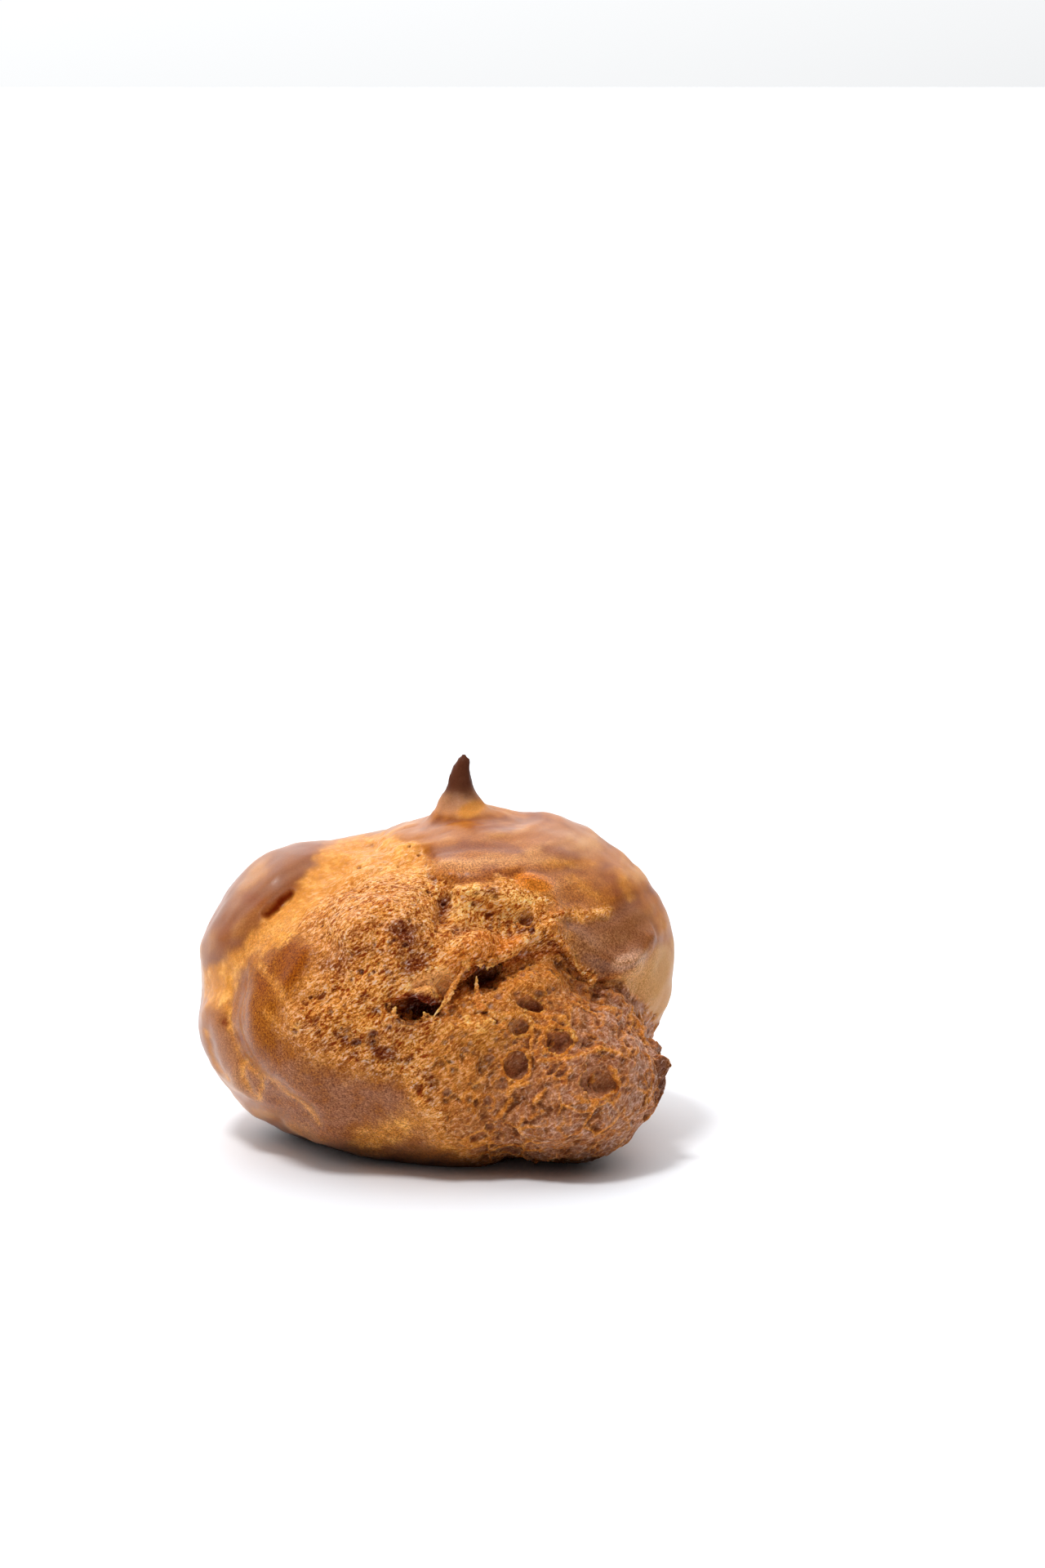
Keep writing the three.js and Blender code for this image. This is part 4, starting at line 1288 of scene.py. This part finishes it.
def crust_material():
    material = bpy.data.materials.new("crust")
    make = Nodes(material)
    where = make.node("ShaderNodeTexCoord").outputs["Object"]
    slant = {"Vector": where, "Rotation": (0, -GRAIN_SLANT, 0), "Scale": GRAIN_STRETCH}
    along = make.node("ShaderNodeMapping", slant, vector_type="TEXTURE").outputs["Vector"]
    tone = make.attribute("tone", "Color")
    gloss, sharp, glaze, foam = (make.attribute(name) for name in ("gloss", "sharp", "glaze", "foam"))
    wrinkle = make.spread(make.grain(along, "wrinkle"), *GRAIN_ENDS, 0, 1)
    suede = make.spread(make.grain(where, "suede"), *GRAIN_ENDS, 0, 1)
    swirl = make.vector("SUBTRACT", make.grain(along, "swirl", "Color"), MIDDLE)
    wavy = make.vector("ADD", along, make.scaled(swirl, FLAKE_BEND * MM))
    cell = {"Vector": wavy, "Scale": 1 / (FLAKE_SIZE * MM)}
    flake = make.node("ShaderNodeTexVoronoi", cell).outputs["Color"]
    shade = make.node("ShaderNodeSeparateColor", {"Color": flake}).outputs["Red"]
    plate = make.spread(make.cell_edge(cell), 0, CREASE_WIDTH, 0, 1)
    fold = make.math("ABSOLUTE", make.math("SUBTRACT", make.grain(wavy, "fold"), 0.5))
    crumple = make.spread(fold, 0, FOLD_WIDTH, 1, 0)
    level = make.mix("FLOAT", FLAKE_SHARE, make.mix("FLOAT", FOLD_SHARE, wrinkle, crumple), shade)
    level = make.spread(level, *LEVEL_ENDS, 0, 1)
    level = make.math("MULTIPLY", level, make.spread(plate, 0, 1, CREASE_SHADE, 1))
    bubbly = make.vector("ADD", where, make.scaled(swirl, FOAM_BEND * MM))
    foam_edge = make.cell_edge({"Vector": bubbly, "Scale": 1 / (FOAM_SIZE * MM)})
    ridge = make.spread(foam_edge, 0, FOAM_WALL, 1, 0)
    foamy = make.mix("FLOAT", FOAM_WRINKLE, ridge, wrinkle)
    level = make.mix("FLOAT", make.math("MULTIPLY", foam, FOAM_SHARE), level, foamy)
    # The grain's tints: partly its own mottling, partly painted shade in its gaps and painted sheen on its
    # crests.
    speckle = make.mix("RGBA", gloss, make.tints(level, TORN_TINTS), make.tints(suede, GLAZE_TINTS))
    tint = make.mix("RGBA", sharp, MIDDLE + (1,), speckle)
    half = make.mix("RGBA", 1.0, tone, tint, "MULTIPLY")
    rough = make.math("SUBTRACT", 1.0, gloss)
    # Painted glints: the highest crests of rough grain are mixed towards a pale lavender in the base colour.
    crests = make.spread(level, GLINT_LEVEL, 1, 0, GLINT_SHARE)
    glint = make.math("MULTIPLY", crests, make.math("MULTIPLY", rough, sharp))
    colour = make.mix("RGBA", glint, make.vector("ADD", half, half), GLINT)
    turn = make.scaled(make.vector("SUBTRACT", flake, MIDDLE), make.math("MULTIPLY", rough, FLAKE_TURN))
    raised = make.mix("FLOAT", BUMP_SHARE, wrinkle, make.mix("FLOAT", foam, crumple, ridge))
    bump = {
        "Distance": BUMP_HEIGHT,
        "Normal": make.vector("ADD", make.node("ShaderNodeNewGeometry").outputs["Normal"], turn),
        "Height": make.mix("FLOAT", gloss, raised, suede),
        "Strength": make.math("MULTIPLY", sharp, make.spread(gloss, 0, 1, TORN_BUMP, GLAZE_BUMP)),
    }
    normal = make.node("ShaderNodeBump", bump).outputs["Normal"]
    shader = make.nodes["Principled BSDF"]
    for key, value in CRUST_SURFACE.items():
        shader.inputs[key].default_value = value
    for key, source in {
        "Base Color": colour,
        "Coat Weight": make.mix("FLOAT", gloss, make.spread(level, *COAT_LEVELS, 0, 1), glaze),
        "Normal": normal,
        "Coat Normal": normal,
    }.items():
        make.links.new(source, shader.inputs[key])
    return material


# Shreds

def make_shreds(material, skin):
    """Flat ragged strips of skin, each rooted in the crust where the photo shows its ends."""
    crust_tree = BVHTree.FromPolygons(skin.points.tolist(), [face.vertices[:] for face in skin.mesh.polygons])
    draw = np.random.default_rng(SHRED_SEED)
    vertices, faces, tones = [], [], []
    right, up, back = eye_axes.T

    def sight(spot):
        ray = right * (spot[0] - IMAGE_WIDTH / 2) - up * (spot[1] - IMAGE_HEIGHT / 2)
        ray -= back * PIXELS_PER_TANGENT
        return ray / np.linalg.norm(ray)

    def reach(spot):
        return crust_tree.ray_cast(camera.location, Vector(sight(spot)))[3]

    for path in SHREDS:
        first, last = reach(path[0]) + SHRED_SINK * MM, reach(path[-1])
        last = first if last - first > SHRED_GAP * MM else last
        spine = np.array(path, float)
        start = len(vertices)
        for step in range(SHRED_STEPS + 1):
            share = step / SHRED_STEPS
            piece = min(int(share * (len(spine) - 1)), len(spine) - 2)
            ahead = spine[piece + 1] - spine[piece]
            x, y, half = spine[piece] + (share * (len(spine) - 1) - piece) * ahead
            across = -right * ahead[1] - up * ahead[0]
            across /= np.linalg.norm(across)
            far = first + share * (last - first)
            width = half * far / PIXELS_PER_TANGENT * draw.uniform(*SHRED_WIDTHS)
            spot = np.array((x, y)) + draw.normal(0, SHRED_JITTER * half, 2)
            for side in range(SHRED_SIDES):
                angle = 2 * math.pi * side / SHRED_SIDES
                offset = math.cos(angle) * across + SHRED_FLATNESS * math.sin(angle) * back
                vertices.append(eye + far * sight(spot) + width * offset)
                tones.append(linear(FLAP_SKIN_TONE) + share * (linear(SHRED) - linear(FLAP_SKIN_TONE)))
        for low in range(start, len(vertices) - SHRED_SIDES, SHRED_SIDES):
            for side in range(SHRED_SIDES):
                turn = (side + 1) % SHRED_SIDES
                faces.append((low + side, low + turn, low + SHRED_SIDES + turn, low + SHRED_SIDES + side))
        faces.append(tuple(range(start + SHRED_SIDES - 1, start - 1, -1)))
        faces.append(tuple(range(len(vertices) - SHRED_SIDES, len(vertices))))
    mesh = bpy.data.meshes.new("shreds")
    mesh.from_pydata(vertices, [], faces)
    bm = bmesh.new()
    bm.from_mesh(mesh)
    bmesh.ops.recalc_face_normals(bm, faces=bm.faces)
    bm.to_mesh(mesh)
    bm.free()
    finish = {name: np.full(len(vertices), float(value)) for name, value in SHRED_FINISH.items()}
    dress(mesh, material, {"tone": np.array(tones), **finish})
    shreds = add("shreds", mesh)
    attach(shreds, "root")


# Stage

def make_floor():
    bpy.ops.mesh.primitive_plane_add(size=FLOOR_SIZE)
    floor = bpy.context.active_object
    floor.name = "floor"
    material = bpy.data.materials.new("floor")
    shader = Nodes(material).nodes["Principled BSDF"]
    shader.inputs["Base Color"].default_value = FLOOR_COLOUR
    shader.inputs["Roughness"].default_value = FLOOR_ROUGHNESS
    floor.data.materials.append(material)


def make_light():
    """A bright sky above and behind, a dim one in front, and a soft key from above on the left."""
    world = bpy.data.worlds.new("studio")
    bpy.context.scene.world = world
    make = Nodes(world)
    where = make.node("ShaderNodeTexCoord").outputs["Generated"]
    lean = make.node("ShaderNodeVectorMath", {0: where, 1: SKY_LEAN}, operation="DOT_PRODUCT")
    sky = make.nodes["Background"]
    sky.inputs["Color"].default_value = SKY_COLOUR
    strength = make.spread(lean.outputs["Value"], *SKY_RAMP, SKY_DIM, SKY_BRIGHT)
    make.links.new(strength, sky.inputs["Strength"])
    data = bpy.data.lights.new("key", "SUN")
    data.energy = KEY_STRENGTH
    data.angle = KEY_SPREAD
    key = add("key", data)
    key.rotation_euler = (-Vector(KEY_FROM)).to_track_quat("-Z", "Y").to_euler()
    bpy.context.scene.view_settings.view_transform = "Standard"


crust = voxel_skin("gougere")
split_burst_skin(crust.data)
skin = Skin(crust.data)
ease_base(skin)
sculpt_folds(skin)
sculpt_lumps(skin)
sculpt_holes(skin)
pit, rims, shade = sculpt_bubbles(skin)
sculpt_grain(skin, pit)
flatten_foot(skin)
material = crust_material()
dress(crust.data, material, paint_crust(skin, pit, rims, shade))
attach(crust, "root")
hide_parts("gougere")
make_shreds(material, skin)
make_floor()
make_light()
